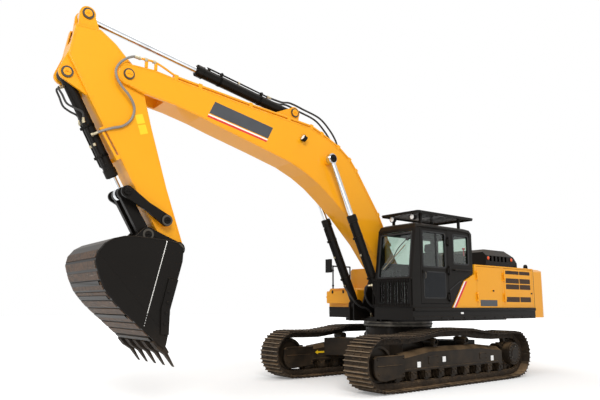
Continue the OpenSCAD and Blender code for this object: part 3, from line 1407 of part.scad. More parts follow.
module curl_barrel_tube() {
  color(black) along(curl_base_world, knee_world) barrel(curl_barrel, curl_length, curl_rod, link_pin,
    barrel_end / 2);
}
module curl_rod_eye() {
  color(chrome) along(curl_base_world, knee_world) rod_eye(curl_rod, curl_rod_length, curl_barrel,
    norm(knee_world - curl_base_world));
}

carbody();
slew_ring();
side_frames();
track_left();
track_right();
idlers();
sprockets();
final_drives();
track_rollers();
carrier_rollers();
main_frame();
side_beams();
counterweight();
lifting_eyes();
house();
left_front_door();
left_rear_door();
right_rear_door();
hood();
engine();
toolbox();
tanks();
cab();
cab_glass();
cab_door();
door_glass();
seat();
console();
roof_guard();
front_guard();
cab_lamps();
handrails();
mirrors();
boom();
boom_pins();
boom_pipes();
boom_lamp();
arm();
arm_pins();
arm_pipes();
bucket();
bucket_teeth();
bucket_pins();
guide_links();
bucket_link();
lift_barrels();
lift_rods();
crowd_barrel_tube();
crowd_rod_eye();
curl_barrel_tube();
curl_rod_eye();
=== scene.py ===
# %% [markdown]
# # A crawler excavator, dressed for its portrait
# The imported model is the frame: every solid already has its real size and place. This script adds what
# solids lack, which is finish, fasteners, hoses, cushions and light.

# %% Load the frame
import json
import math

import bmesh
import bpy
from mathutils import Matrix, Vector


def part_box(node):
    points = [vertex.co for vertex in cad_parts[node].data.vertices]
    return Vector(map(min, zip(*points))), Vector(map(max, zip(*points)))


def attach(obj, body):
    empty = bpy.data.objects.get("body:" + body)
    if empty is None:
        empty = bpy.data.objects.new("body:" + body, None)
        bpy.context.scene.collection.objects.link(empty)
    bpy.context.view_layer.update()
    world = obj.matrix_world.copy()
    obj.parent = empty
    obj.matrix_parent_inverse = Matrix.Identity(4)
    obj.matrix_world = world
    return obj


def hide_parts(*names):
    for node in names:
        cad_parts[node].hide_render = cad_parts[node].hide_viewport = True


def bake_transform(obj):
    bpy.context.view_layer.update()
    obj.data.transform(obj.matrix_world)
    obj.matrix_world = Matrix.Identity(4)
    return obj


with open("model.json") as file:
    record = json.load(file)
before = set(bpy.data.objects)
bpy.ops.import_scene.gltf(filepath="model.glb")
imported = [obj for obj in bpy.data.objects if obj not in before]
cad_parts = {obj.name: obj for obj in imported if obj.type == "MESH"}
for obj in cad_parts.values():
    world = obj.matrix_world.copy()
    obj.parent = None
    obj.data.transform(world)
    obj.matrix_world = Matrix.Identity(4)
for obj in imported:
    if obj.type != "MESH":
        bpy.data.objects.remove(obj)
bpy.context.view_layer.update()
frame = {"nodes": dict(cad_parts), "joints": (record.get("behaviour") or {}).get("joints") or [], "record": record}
nodes = frame["nodes"]
pivot = {j["name"]: Vector(j["pos_m"]) for j in frame["joints"] if "pos_m" in j}
low, high = {}, {}
for name in nodes:
    low[name], high[name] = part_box(name)

# %% [markdown]
# ## Places on the machine
# The boom and the arm lean, so their details are easier to place in their own directions: along from pin
# to pin, across, and up from that line. One short function turns such a place into the frame's metres.

# %% Directions of boom and arm


def leaning(origin, angle):
    """Turns (along, across, up) from a pin into the frame's metres."""
    along = Vector((math.cos(angle), 0, math.sin(angle)))
    rise = Vector((-math.sin(angle), 0, math.cos(angle)))
    return lambda x, y, z: origin + along * x + rise * z + Vector((0, y, 0))


def angle_between(a, b):
    """The slope of the line from a to b, seen from the side."""
    return math.atan2(b.z - a.z, b.x - a.x)


foot, nose, tip = pivot["boom_lift"], pivot["arm_crowd"], pivot["bucket_curl"]
on_boom = leaning(foot, angle_between(foot, nose))
on_arm = leaning(nose, angle_between(nose, tip))
print("boom", round((nose - foot).length, 3), "m, arm", round((tip - nose).length, 3), "m")

# %% [markdown]
# ## Camera
# The picture is taken from the front left and low, with a moderately wide lens. Place, direction and
# lens were solved from the usual sizes of the tracks on a machine of this class.

# %% Camera
CAMERA_PLACE = Vector((9.2814, 8.5231, 1.518))
CAMERA_YAW = math.radians(-127.996)
CAMERA_PITCH = math.radians(9.587)
CAMERA_ROLL = math.radians(-0.322)
FOCAL_PX, PICTURE_WIDTH, PICTURE_HEIGHT = 562.7, 600, 400
MIDDLE_PX = (303.0, 209.3)
SENSOR_MM, VIEW_END = 36, 200

view = Vector((
    math.cos(CAMERA_PITCH) * math.cos(CAMERA_YAW),
    math.cos(CAMERA_PITCH) * math.sin(CAMERA_YAW),
    math.sin(CAMERA_PITCH),
))
right = view.cross(Vector((0, 0, 1))).normalized()
up = right.cross(view)
lens = bpy.data.cameras.new("camera")
lens.sensor_width = SENSOR_MM
lens.lens = FOCAL_PX / PICTURE_WIDTH * SENSOR_MM
lens.shift_x = (PICTURE_WIDTH / 2 - MIDDLE_PX[0]) / PICTURE_WIDTH
lens.shift_y = (MIDDLE_PX[1] - PICTURE_HEIGHT / 2) / PICTURE_WIDTH
lens.clip_end = VIEW_END
camera = bpy.data.objects.new("camera", lens)
aim = Matrix((right, up, -view)).transposed().to_4x4() @ Matrix.Rotation(-CAMERA_ROLL, 4, "Z")
camera.matrix_world = Matrix.Translation(CAMERA_PLACE) @ aim
bpy.context.scene.collection.objects.link(camera)
bpy.context.scene.camera = camera
print("lens", round(lens.lens, 2), "mm")

# %% [markdown]
# ## Studio
# A machine photographed on white needs a pale floor and large soft lights: a wide key from the camera's
# side, a top light and a weak front light. The world is white to the eye and in reflections, but lights
# at half strength. The paper floor glows a little for the eye, in metal and through glass, and more so
# far out, so that it runs into the white without a horizon.

# %% Colours and shader nodes


def linear(code):
    """Turns an sRGB hex code into the linear colour that shaders use."""
    parts = [int(code[i:i + 2], 16) / 255 for i in (1, 3, 5)]
    return tuple(c / 12.92 if c <= 0.04045 else ((c + 0.055) / 1.055) ** 2.4 for c in parts) + (1.0,)


def add(tree, kind, inputs=None, **settings):
    """Adds one shader node; inputs are values or the sockets that feed them."""
    made = tree.nodes.new(kind)
    for key, value in settings.items():
        setattr(made, key, value)
    for key, value in (inputs or {}).items():
        if isinstance(value, bpy.types.NodeSocket):
            tree.links.new(value, made.inputs[key])
        else:
            made.inputs[key].default_value = value
    return made


def seen_by_eye(tree):
    """1 for what is seen, also in metal or through glass, and 0 for light that falls on the machine."""
    rays = add(tree, "ShaderNodeLightPath").outputs
    seen = add(tree, "ShaderNodeMath", {0: rays["Is Camera Ray"], 1: rays["Is Glossy Ray"]},
               operation="ADD")
    seen = add(tree, "ShaderNodeMath", {0: seen.outputs[0], 1: rays["Is Transmission Ray"]},
               operation="ADD", use_clamp=True)
    return seen.outputs[0]


print("helpers for colours and nodes ready")

# %% Floor and lights
FLOOR_HALF, FLOOR_DROP = 60.0, 0.002
NEAR, FAR = 4.0, 12.0
GLOW_NEAR, GLOW_FAR = 0.20, 0.8
WORLD_LIGHT = 0.50
MIDDLE = (1.5, 0, 2.0)
LIGHTS = (("key", (12, 14, 12), 8, 1900), ("top", (0, 2, 16), 10, 480), ("front", (16, 1, 7), 6, 260))


def area_light(name, place, size, power):
    """A round soft light that faces the middle of the machine; size in metres, power in watts."""
    lamp = bpy.data.lights.new(name, "AREA")
    lamp.shape = "DISK"
    lamp.size = size
    lamp.energy = power
    lit = bpy.data.objects.new(name, lamp)
    lit.location = place
    lit.rotation_euler = (Vector(MIDDLE) - Vector(place)).to_track_quat("-Z", "Y").to_euler()
    bpy.context.scene.collection.objects.link(lit)


floor_mesh = bpy.data.meshes.new("floor")
corners = ((-1, -1), (1, -1), (1, 1), (-1, 1))
floor_points = [(x * FLOOR_HALF, y * FLOOR_HALF, -FLOOR_DROP) for x, y in corners]
floor_mesh.from_pydata(floor_points, [], [(0, 1, 2, 3)])
floor = bpy.data.objects.new("floor", floor_mesh)
bpy.context.scene.collection.objects.link(floor)
floor_finish = bpy.data.materials.new("studio_paper")
floor_finish.use_nodes = True
paper = floor_finish.node_tree
floor_shader = paper.nodes["Principled BSDF"]
floor_shader.inputs["Base Color"].default_value = linear("#FAFAF9")
floor_shader.inputs["Roughness"].default_value = 0.9
floor_shader.inputs["Specular IOR Level"].default_value = 0.1
floor_shader.inputs["Emission Color"].default_value = linear("#FFFFFF")
spot = add(paper, "ShaderNodeTexCoord").outputs["Object"]
way = add(paper, "ShaderNodeVectorMath", {0: spot}, operation="LENGTH")
fade = add(paper, "ShaderNodeMapRange", {"Value": way.outputs["Value"], "From Min": NEAR, "From Max": FAR,
                                         "To Min": GLOW_NEAR, "To Max": GLOW_FAR}).outputs[0]
glow = add(paper, "ShaderNodeMath", {0: fade, 1: seen_by_eye(paper)}, operation="MULTIPLY").outputs[0]
paper.links.new(glow, floor_shader.inputs["Emission Strength"])
floor_mesh.materials.append(floor_finish)

world = bpy.data.worlds.new("studio")
bpy.context.scene.world = world
world.use_nodes = True
sky = world.node_tree
level = add(sky, "ShaderNodeMapRange", {"Value": seen_by_eye(sky), "To Min": WORLD_LIGHT, "To Max": 1.0})
sky.nodes["Background"].inputs["Color"].default_value = linear("#FFFFFF")
sky.links.new(level.outputs[0], sky.nodes["Background"].inputs["Strength"])
for light in LIGHTS:
    area_light(*light)
bpy.context.scene.view_settings.view_transform = "Standard"
print("floor, world and", len(LIGHTS), "lights")

# %% [markdown]
# ## Painted finishes
# The machine is sprayed with enamel, which dries with a fine orange peel and a clear gloss. Dust settles
# on what faces up and gathers low down, and knocks chip the paint. All patterns run in metres on the
# part itself, so that they stay in place when it moves.

# %% Enamels
DUST = linear("#94795A")
PATCH_MM, DRIFT_MM, CHIP_MM, PEEL_MM = 260, 900, 26, 5


def shader_of(name):
    """A new material with its node tree and its main shader."""
    made = bpy.data.materials.new(name)
    made.use_nodes = True
    return made, made.node_tree, made.node_tree.nodes["Principled BSDF"]


def dust_film(tree, spot, amount, low_z, high_z):
    """How dusty a place is: most where it faces up, more near the ground, and in wide patches."""
    facing_up = add(tree, "ShaderNodeSeparateXYZ", {0: spot.outputs["Normal"]}).outputs["Z"]
    height = add(tree, "ShaderNodeSeparateXYZ", {0: spot.outputs["Object"]}).outputs["Z"]
    settled = add(tree, "ShaderNodeMapRange",
                  {"Value": facing_up, "From Min": 0.3, "From Max": 0.8}).outputs[0]
    near_soil = add(tree, "ShaderNodeMapRange",
                    {"Value": height, "From Min": high_z, "From Max": low_z}).outputs[0]
    share = add(tree, "ShaderNodeMapRange", {"Value": near_soil, "To Min": 0.15}).outputs[0]
    laid = add(tree, "ShaderNodeMath", {0: settled, 1: share}, operation="MULTIPLY").outputs[0]
    more = add(tree, "ShaderNodeMath", {0: near_soil, 1: 0.15, 2: laid},
               operation="MULTIPLY_ADD").outputs[0]
    cloud = add(tree, "ShaderNodeTexNoise",
                {"Vector": spot.outputs["Object"], "Scale": 1000 / PATCH_MM, "Detail": 6.0})
    patch = add(tree, "ShaderNodeMapRange",
                {"Value": cloud.outputs["Fac"], "From Min": 0.35, "From Max": 0.7,
                 "To Min": 0.25, "To Max": amount}).outputs[0]
    return add(tree, "ShaderNodeMath", {0: more, 1: patch}, operation="MULTIPLY",
               use_clamp=True).outputs[0]


def enamel(name, code, chip_code, roughness, gloss, dust, low_z, high_z):
    """Sprayed enamel with a drifting tone, chips, dust, and orange peel in the bump."""
    made, tree, shader = shader_of(name)
    spot = add(tree, "ShaderNodeTexCoord")
    place = spot.outputs["Object"]
    drift = add(tree, "ShaderNodeTexNoise",
                {"Vector": place, "Scale": 1000 / DRIFT_MM, "Detail": 3.0}).outputs["Fac"]
    paler = tuple(min(1.0, c * 1.08 + 0.003) for c in linear(code)[:3]) + (1.0,)
    tone = add(tree, "ShaderNodeMix", {0: drift, 6: linear(code), 7: paler}, data_type="RGBA").outputs[2]
    flakes = add(tree, "ShaderNodeTexNoise",
                 {"Vector": place, "Scale": 1000 / CHIP_MM, "Detail": 8.0}).outputs["Fac"]
    chips = add(tree, "ShaderNodeMapRange",
                {"Value": flakes, "From Min": 0.74, "From Max": 0.755, "To Max": 0.8})
    chipped = add(tree, "ShaderNodeMix", {0: chips.outputs[0], 6: tone, 7: linear(chip_code)},
                  data_type="RGBA")
    film = dust_film(tree, spot, dust, low_z, high_z)
    dusty = add(tree, "ShaderNodeMix", {0: film, 6: chipped.outputs[2], 7: DUST},
                data_type="RGBA").outputs[2]
    tree.links.new(dusty, shader.inputs["Base Color"])
    rough = add(tree, "ShaderNodeMapRange",
                {"Value": film, "To Min": roughness, "To Max": 0.9}).outputs[0]
    tree.links.new(rough, shader.inputs["Roughness"])
    peel = add(tree, "ShaderNodeTexNoise",
               {"Vector": place, "Scale": 1000 / PEEL_MM, "Detail": 2.0}).outputs["Fac"]
    bump = add(tree, "ShaderNodeBump",
               {"Strength": 0.10, "Distance": 0.001, "Height": peel}).outputs["Normal"]
    tree.links.new(bump, shader.inputs["Normal"])
    shader.inputs["Specular IOR Level"].default_value = gloss
    shader.inputs["Coat Weight"].default_value = gloss / 2
    shader.inputs["Coat Roughness"].default_value = 0.12
    return made


finishes = {
    "yellow_enamel": enamel("yellow_enamel", "#EFA211", "#8A6A2C", 0.34, 0.26, 0.22, 0.9, 1.9),
    "black_enamel": enamel("black_enamel", "#120F0C", "#37302A", 0.38, 0.085, 1.0, 0.15, 1.25),
}
print("two enamels")

# %% [markdown]
# ## Metals
# Track shoes are rolled steel that never keeps paint: soil in every hollow, bright where they rub. Pins
# are turned steel under a film of grease, and their steel is painted darker as shade, since the slewing
# ring of the same steel lies in shadow under the house. Cylinder rods are hard chromed and polished, and
# couplings are plated with zinc.

# %% Rolled and cast steel
SOIL_GLOSS = 0.22
RUST_MM, SOIL_MM, SCRAPE_MM = 70, 22, 14


def rubbed_steel(name, dark_code, soil_and_reflection_code, bright_code, soil, roughness):
    """Rolled or cast steel: rusty patches, soil that dulls it, and scrapes that run across the shoe; on the
    bucket's strips that brown is painted reflection of the lit ground.
    """
    made, tree, shader = shader_of(name)
    spot = add(tree, "ShaderNodeTexCoord")
    place = spot.outputs["Object"]
    rust_and_reflection = add(tree, "ShaderNodeTexNoise",
               {"Vector": place, "Scale": 1000 / RUST_MM, "Detail": 7.0}).outputs["Fac"]
    rust_and_reflection = add(tree, "ShaderNodeMapRange", {"Value": rust_and_reflection, "From Min": 0.38, "From Max": 0.66}).outputs[0]
    tone = add(tree, "ShaderNodeMix", {0: rust_and_reflection, 6: linear(dark_code), 7: linear(soil_and_reflection_code)},
               data_type="RGBA").outputs[2]
    grime_and_reflection = add(tree, "ShaderNodeTexNoise",
                {"Vector": place, "Scale": 1000 / SOIL_MM, "Detail": 8.0}).outputs["Fac"]
    grime_and_reflection = add(tree, "ShaderNodeMapRange",
                {"Value": grime_and_reflection, "From Min": 0.42, "From Max": 0.62, "To Max": soil})
    soiled_and_reflected = add(tree, "ShaderNodeMix", {0: grime_and_reflection.outputs[0], 6: tone, 7: linear(soil_and_reflection_code)},
                 data_type="RGBA").outputs[2]
    drawn_out = add(tree, "ShaderNodeMapping", {"Vector": place, "Scale": (1.0, 0.08, 1.0)}).outputs[0]
    scrape = add(tree, "ShaderNodeTexNoise",
                 {"Vector": drawn_out, "Scale": 1000 / SCRAPE_MM, "Detail": 6.0}).outputs["Fac"]
    bright = add(tree, "ShaderNodeMapRange",
                 {"Value": scrape, "From Min": 0.60, "From Max": 0.72, "To Max": 0.5}).outputs[0]
    scraped = add(tree, "ShaderNodeMix", {0: bright, 6: soiled_and_reflected, 7: linear(bright_code)},
                  data_type="RGBA").outputs[2]
    film = dust_film(tree, spot, 0.9, 0.1, 1.3)
    shown = add(tree, "ShaderNodeMix", {0: film, 6: scraped, 7: DUST}, data_type="RGBA").outputs[2]
    tree.links.new(shown, shader.inputs["Base Color"])
    tree.links.new(bright, shader.inputs["Metallic"])
    shader.inputs["Specular IOR Level"].default_value = SOIL_GLOSS
    rough = add(tree, "ShaderNodeMapRange",
                {"Value": bright, "From Max": 0.5, "To Min": roughness, "To Max": 0.45})
    tree.links.new(rough.outputs[0], shader.inputs["Roughness"])
    bump = add(tree, "ShaderNodeBump", {"Strength": 0.35, "Distance": 0.004, "Height": grime_and_reflection.outputs[0]})
    tree.links.new(bump.outputs["Normal"], shader.inputs["Normal"])
    return made


finishes["worn_steel"] = rubbed_steel("worn_steel", "#0F0D0C", "#2A2119", "#6B645B", 0.35, 0.75)
finishes["engine_casting"] = rubbed_steel("engine_casting", "#3A3B3B", "#4A4844", "#77756F", 0.3, 0.7)
bar_wear = rubbed_steel("worn_bar", "#6F6456", "#8A775F", "#B4AA9C", 0.45, 0.60)
# The bucket's strips: dark steel with scrapes, and a brown tone that is painted reflection of the lit ground.
wear_plate = rubbed_steel("wear_plate", "#241B14", "#543C28", "#7F7060", 0.45, 0.55)
print("four rolled or cast steels")

# %% Turned, plated and chromed steel
GREASE_MM = 120


def turned_steel(name, code, film_code, roughness, grain_mm):
    """Turned or polished metal under a thin film of grease, with the tool's faint rings in the bump."""
    made, tree, shader = shader_of(name)
    place = add(tree, "ShaderNodeTexCoord").outputs["Object"]
    film = add(tree, "ShaderNodeTexNoise",
               {"Vector": place, "Scale": 1000 / GREASE_MM, "Detail": 5.0}).outputs["Fac"]
    share = add(tree, "ShaderNodeMapRange",
                {"Value": film, "From Min": 0.35, "From Max": 0.75, "To Max": 0.35}).outputs[0]
    tone = add(tree, "ShaderNodeMix", {0: share, 6: linear(code), 7: linear(film_code)},
               data_type="RGBA").outputs[2]
    tree.links.new(tone, shader.inputs["Base Color"])
    rough = add(tree, "ShaderNodeMapRange", {"Value": film, "From Min": 0.3, "From Max": 0.7,
                                             "To Min": roughness * 0.7,
                                             "To Max": roughness * 1.5}).outputs[0]
    tree.links.new(rough, shader.inputs["Roughness"])
    grain = add(tree, "ShaderNodeTexNoise",
                {"Vector": place, "Scale": 1000 / grain_mm, "Detail": 2.0}).outputs["Fac"]
    bump = add(tree, "ShaderNodeBump",
               {"Strength": 0.05, "Distance": 0.0005, "Height": grain}).outputs["Normal"]
    tree.links.new(bump, shader.inputs["Normal"])
    shader.inputs["Metallic"].default_value = 1.0
    return made


# Greased steel painted darker than bare steel: painted shade for the slewing ring under the house, shared by pins,
# plugs and the door handle.
finishes["bare_steel"] = turned_steel("greased_steel", "#56524C", "#2E2B27", 0.42, 4)
finishes["chromed_rod"] = turned_steel("chromed_rod", "#D4D7DA", "#8F9092", 0.09, 8)
zinc = turned_steel("zinc_plate", "#B9AE93", "#7D735E", 0.34, 3)
bead_steel = turned_steel("ground_weld", "#C5C3BE", "#8E8B86", 0.45, 6)
print("four turned or plated metals")

# %% [markdown]
# ## Glass, cloth, plastic and rubber
# The panes are flat safety glass with a faint green tint. The seat is woven cloth, the consoles are
# grained plastic, hoses are synthetic rubber with a light bloom, and blank films are printed in one
# colour.

# %% Soft and clear finishes
FADE_MM, HAZE_MM = 180, 200


def moulded(name, code, roughness, grain_mm, depth_mm):
    """A dyed or moulded surface: its tone drifts, and a fine grain gives the bump."""
    made, tree, shader = shader_of(name)
    place = add(tree, "ShaderNodeTexCoord").outputs["Object"]
    fade = add(tree, "ShaderNodeTexNoise",
               {"Vector": place, "Scale": 1000 / FADE_MM, "Detail": 5.0}).outputs["Fac"]
    faded = tuple(min(1.0, c * 1.3 + 0.004) for c in linear(code)[:3]) + (1.0,)
    tone = add(tree, "ShaderNodeMix", {0: fade, 6: linear(code), 7: faded}, data_type="RGBA").outputs[2]
    tree.links.new(tone, shader.inputs["Base Color"])
    rough = add(tree, "ShaderNodeMapRange", {"Value": fade, "From Min": 0.3, "From Max": 0.7,
                                             "To Min": roughness - 0.06,
                                             "To Max": roughness + 0.08}).outputs[0]
    tree.links.new(rough, shader.inputs["Roughness"])
    grain = add(tree, "ShaderNodeTexNoise",
                {"Vector": place, "Scale": 1000 / grain_mm, "Detail": 3.0}).outputs["Fac"]
    bump = add(tree, "ShaderNodeBump",
               {"Strength": 0.4, "Distance": depth_mm / 1000, "Height": grain}).outputs["Normal"]
    tree.links.new(bump, shader.inputs["Normal"])
    return made


def safety_glass(name, code):
    """Float glass with a thin, uneven film of dust that only shows in the roughness."""
    made, tree, shader = shader_of(name)
    place = add(tree, "ShaderNodeTexCoord").outputs["Object"]
    film = add(tree, "ShaderNodeTexNoise",
               {"Vector": place, "Scale": 1000 / HAZE_MM, "Detail": 6.0}).outputs["Fac"]
    rough = add(tree, "ShaderNodeMapRange",
                {"Value": film, "From Min": 0.45, "From Max": 0.75, "To Max": 0.08}).outputs[0]
    tree.links.new(rough, shader.inputs["Roughness"])
    shader.inputs["Base Color"].default_value = linear(code)
    shader.inputs["Transmission Weight"].default_value = 1.0
    shader.inputs["IOR"].default_value = 1.45
    return made


finishes["safety_glass"] = safety_glass("safety_glass", "#D2E0D8")
finishes["seat_cloth"] = moulded("seat_cloth", "#1D1D1F", 0.85, 2, 0.6)
finishes["moulded_plastic"] = moulded("moulded_plastic", "#232323", 0.6, 1.5, 0.2)
rubber = moulded("hose_rubber", "#171615", 0.58, 3, 0.2)
braid = moulded("braided_hose", "#77716A", 0.42, 4, 0.8)
gasket = moulded("gasket_rubber", "#0F0F0F", 0.7, 3, 0.1)
lamp_glass = moulded("lamp_lens", "#ECECE6", 0.16, 12, 0.8)
amber = moulded("amber_lens", "#DD4F10", 0.2, 12, 0.8)
red_lens = moulded("red_lens", "#A81612", 0.2, 12, 0.8)
white_film = moulded("white_film", "#F2F1EC", 0.45, 4, 0.05)
red_film = moulded("red_film", "#C8232B", 0.45, 4, 0.05)
label_film = moulded("label_film", "#F2BE12", 0.45, 4, 0.05)
band_film = moulded("band_film", "#3A3C40", 0.45, 4, 0.05)
# A dark brown for the door's openings: the dusty cooler behind them, in painted shade of the recess.
cooler_core = moulded("cooler_core", "#4A3524", 0.8, 6, 0.5)
mirror_face = turned_steel("silvered_glass", "#DDE1E4", "#C9CDD0", 0.03, 50)
screen_face = moulded("screen_glass", "#0B0E12", 0.12, 30, 0.02)
screen_face.node_tree.nodes["Principled BSDF"].inputs["Specular IOR Level"].default_value = 0.15
slots = {p["node"]: p["material_slot"] for p in frame["record"]["subparts"]}
for name, solid in nodes.items():
    solid.data.materials.clear()
    solid.data.materials.append(finishes[slots[name]])
print(len(slots), "solids finished")

# %% [markdown]
# ## Mesh helpers
# Most small pieces are one of four forms: a skin over rings, a turned profile, a round bar along a line,
# or a plate cut to an outline with broken edges. Each function returns points and faces, and `piece`
# joins them.

# %% Skins, turnings and bars
TURN = 2 * math.pi


def across(axis):
    """An axis with two directions square to it."""
    axis = Vector(axis).normalized()
    side = axis.orthogonal().normalized()
    return axis, side, axis.cross(side)


def ring(place, axis, radius, steps, start=0.0):
    """Points on a circle round an axis."""
    axis, side, other = across(axis)
    angles = [start + TURN * i / steps for i in range(steps)]
    return [Vector(place) + (side * math.cos(a) + other * math.sin(a)) * radius for a in angles]


def loft(rings):
    """Skins rings that have the same number of points, and closes both ends."""
    n = len(rings[0])
    points = [Vector(p) for r in rings for p in r]
    faces = [tuple(reversed(range(n))), tuple(range(len(points) - n, len(points)))]
    for r in range(len(rings) - 1):
        for i in range(n):
            j = (i + 1) % n
            faces.append((r * n + i, r * n + j, r * n + n + j, r * n + n + i))
    return points, faces


def turned(place, axis, profile, steps=32):
    """A turned piece; profile lists (radius, way along the axis)."""
    axis = Vector(axis).normalized()
    return loft([ring(Vector(place) + axis * way, axis, radius, steps) for radius, way in profile])


def hooped(place, axis, section, steps=40):
    """A ring with an open bore; section goes once round, as (radius, way along the axis)."""
    points, faces = turned(place, axis, section + section[:1], steps)
    last = len(points) - steps
    return points[:last], [tuple(i % last for i in face) for face in faces[2:]]


def swept(path, radius, steps=12):
    """A round bar along a path; each ring is carried on from the last one, so the bar doesn't twist."""
    path = [Vector(p) for p in path]
    side, rings = None, []
    for i, p in enumerate(path):
        ahead = (path[min(i + 1, len(path) - 1)] - path[max(i - 1, 0)]).normalized()
        side = ahead.orthogonal() if side is None else side - ahead * side.dot(ahead)
        side = side.normalized()
        other = ahead.cross(side)
        angles = [TURN * k / steps for k in range(steps)]
        rings.append([p + (side * math.cos(a) + other * math.sin(a)) * radius for a in angles])
    return loft(rings)


def smooth(points, steps=6):
    """A soft line through given points."""
    p = [Vector(q) for q in points]
    p = [p[0] * 2 - p[1]] + p + [p[-1] * 2 - p[-2]]
    line = []
    for i in range(1, len(p) - 2):
        for k in range(steps):
            t = k / steps
            a = (p[i + 1] - p[i - 1]) * 0.5
            b = (p[i + 2] - p[i]) * 0.5
            line.append(p[i] * (2 * t**3 - 3 * t**2 + 1) + a * (t**3 - 2 * t**2 + t)
                        + p[i + 1] * (3 * t**2 - 2 * t**3) + b * (t**3 - t**2))
    return line + [p[-2]]


print("skins, turnings and bars ready")

# %% Plates


def inset(outline, depth):
    """Moves each side of a closed outline towards its inside."""
    turns = sum(a[0] * b[1] - b[0] * a[1] for a, b in zip(outline, outline[1:] + outline[:1]))
    depth = depth if turns > 0 else -depth
    moved = []
    for i, p in enumerate(outline):
        p, before, after = Vector(p), Vector(outline[i - 1]), Vector(outline[(i + 1) % len(outline)])
        a, b = (p - before).normalized(), (after - p).normalized()
        a, b = Vector((-a.y, a.x)), Vector((-b.y, b.x))
        moved.append(tuple(p + (a + b) * depth / max(0.3, 1 + a.dot(b))))
    return moved


def plate(outline, to_place, bottom, top, edge=0.002):
    """A plate with broken edges, cut to an outline; to_place turns (across, up, depth) into the frame."""
    layers = ((bottom, edge), (bottom + edge, 0.0), (top - edge, 0.0), (top, edge))
    return loft([[to_place(u, v, depth) for u, v in inset(outline, shrink)] for depth, shrink in layers])


def rounded(width, height, radius, steps=5):
    """A rectangle round (0, 0) with round corners."""
    outline = []
    for i, (sx, sy) in enumerate(((1, 1), (-1, 1), (-1, -1), (1, -1))):
        for k in range(steps + 1):
            a = (i + k / steps) * TURN / 4
            x = sx * (width / 2 - radius) + radius * math.cos(a)
            y = sy * (height / 2 - radius) + radius * math.sin(a)
            outline.append((x, y))
    return outline


def facing_y(place, side):
    """Plates that lie on a flank: across is X, up is Z, depth goes out along Y."""
    place = Vector(place)
    return lambda u, v, depth: place + Vector((u, side * depth, v))


def facing_x(place, side):
    """Plates that face forward or back: across is Y, up is Z."""
    place = Vector(place)
    return lambda u, v, depth: place + Vector((side * depth, u, v))


def facing_z(place, side):
    """Plates that lie flat: across is X and Y."""
    place = Vector(place)
    return lambda u, v, depth: place + Vector((u, v, side * depth))


def facing(place, normal):
    """Plates that lie on a slanted or curved face."""
    place, normal = Vector(place), Vector(normal).normalized()
    aside = Vector((0, 0, 1)).cross(normal).normalized()
    rise = normal.cross(aside)
    return lambda u, v, depth: place + aside * u + rise * v + normal * depth


def seat(node, start, direction):
    """Where a line first meets a solid, and the direction of its face there."""
    met, place, normal, _ = nodes[node].ray_cast(Vector(start), Vector(direction))
    assert met, node
    return place, normal


print("plates ready")

# %% Bolts and pieces


def bolt(place, axis, key):
    """A hexagon head on a washer; key is the size of the spanner."""
    place, axis = Vector(place), Vector(axis).normalized()
    profile = [(key * 0.72, -0.001), (key * 0.72, key * 0.12), (key * 0.66, key * 0.15)]
    washer = turned(place, axis, profile, 16)
    heights = [(0.575, 0.15), (0.575, 0.62), (0.46, 0.74)]
    return [washer, loft([ring(place + axis * key * h, axis, key * r, 6) for r, h in heights])]


def bolt_circle(place, axis, radius, count, key, start=0.0):
    """Bolts spread evenly on a circle."""
    return [shape for p in ring(place, axis, radius, count, start) for shape in bolt(p, axis, key)]


def piece(name, body, finish, shapes, crease=35):
    """Joins shapes into one mesh with one finish, which moves with a body when one is given."""
    points, faces = [], []
    for shape_points, shape_faces in shapes:
        faces += [tuple(i + len(points) for i in face) for face in shape_faces]
        points += [tuple(p) for p in shape_points]
    mesh = bpy.data.meshes.new(name)
    mesh.from_pydata(points, [], faces)
    work = bmesh.new()
    work.from_mesh(mesh)
    bmesh.ops.recalc_face_normals(work, faces=work.faces)
    work.to_mesh(mesh)
    work.free()
    mesh.shade_smooth()
    mesh.set_sharp_from_angle(angle=math.radians(crease))
    mesh.materials.append(finish)
    made = bpy.data.objects.new(name, mesh)
    bpy.context.scene.collection.objects.link(made)
    if body:
        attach(made, body)
    return made


black, yellow, steel = finishes["black_enamel"], finishes["yellow_enamel"], finishes["bare_steel"]
print("bolts and pieces ready")

# %% [markdown]
# ## Broken edges
# A real plate or casting never ends in a perfect corner: a narrow bevel catches the light along every
# edge. It is a modifier with an angle limit, so that round stretches stay round, and its hardened
# normals keep the flats flat.

# %% Bevels on the solids
EDGE_WIDTHS = {
    "counterweight": 0.014, "boom": 0.006, "arm": 0.006, "bucket": 0.005, "cab": 0.012, "hood": 0.010,
    "toolbox": 0.008, "tanks": 0.008, "side_beams": 0.006, "carbody": 0.006, "side_frames": 0.006,
    "left_front_door": 0.005, "left_rear_door": 0.004, "right_rear_door": 0.005, "cab_door": 0.008,
    "guide_links": 0.006, "bucket_link": 0.005, "bucket_teeth": 0.008, "lifting_eyes": 0.006,
    "main_frame": 0.005, "mirrors": 0.008, "console": 0.014, "house": 0.004, "roof_guard": 0.004,
    "final_drives": 0.006, "idlers": 0.005,
}
WELD_REACH, SHARP = 0.0001, math.radians(40)
for name, width in EDGE_WIDTHS.items():
    solid = nodes[name]
    weld = solid.modifiers.new("weld", "WELD")
    weld.merge_threshold = WELD_REACH
    edge = solid.modifiers.new("broken_edge", "BEVEL")
    edge.width = width
    edge.segments = 2
    edge.limit_method = "ANGLE"
    edge.angle_limit = SHARP
    edge.use_clamp_overlap = True
    edge.harden_normals = True
print(len(EDGE_WIDTHS), "solids with broken edges")

# %% [markdown]
# ## Tracks
# Each shoe has three bars and is bolted to its chain links by four bolts in the two valleys between
# them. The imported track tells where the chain's pins are: a shoe ends in a flat face 40 mm high, a
# little way from its pin. Each shoe also reaches under the next one as a lip, and the ground rubs the
# tops of the bars bright.

# %% Places of the chain's pins
SHOE_GAP = 0.016
VALLEY, BAR_TOP = 0.071, 0.099
END_HEIGHT, END_MIDDLE = 0.040, 0.079
LOOP_CENTRE = Vector((0, 0, 0.5))


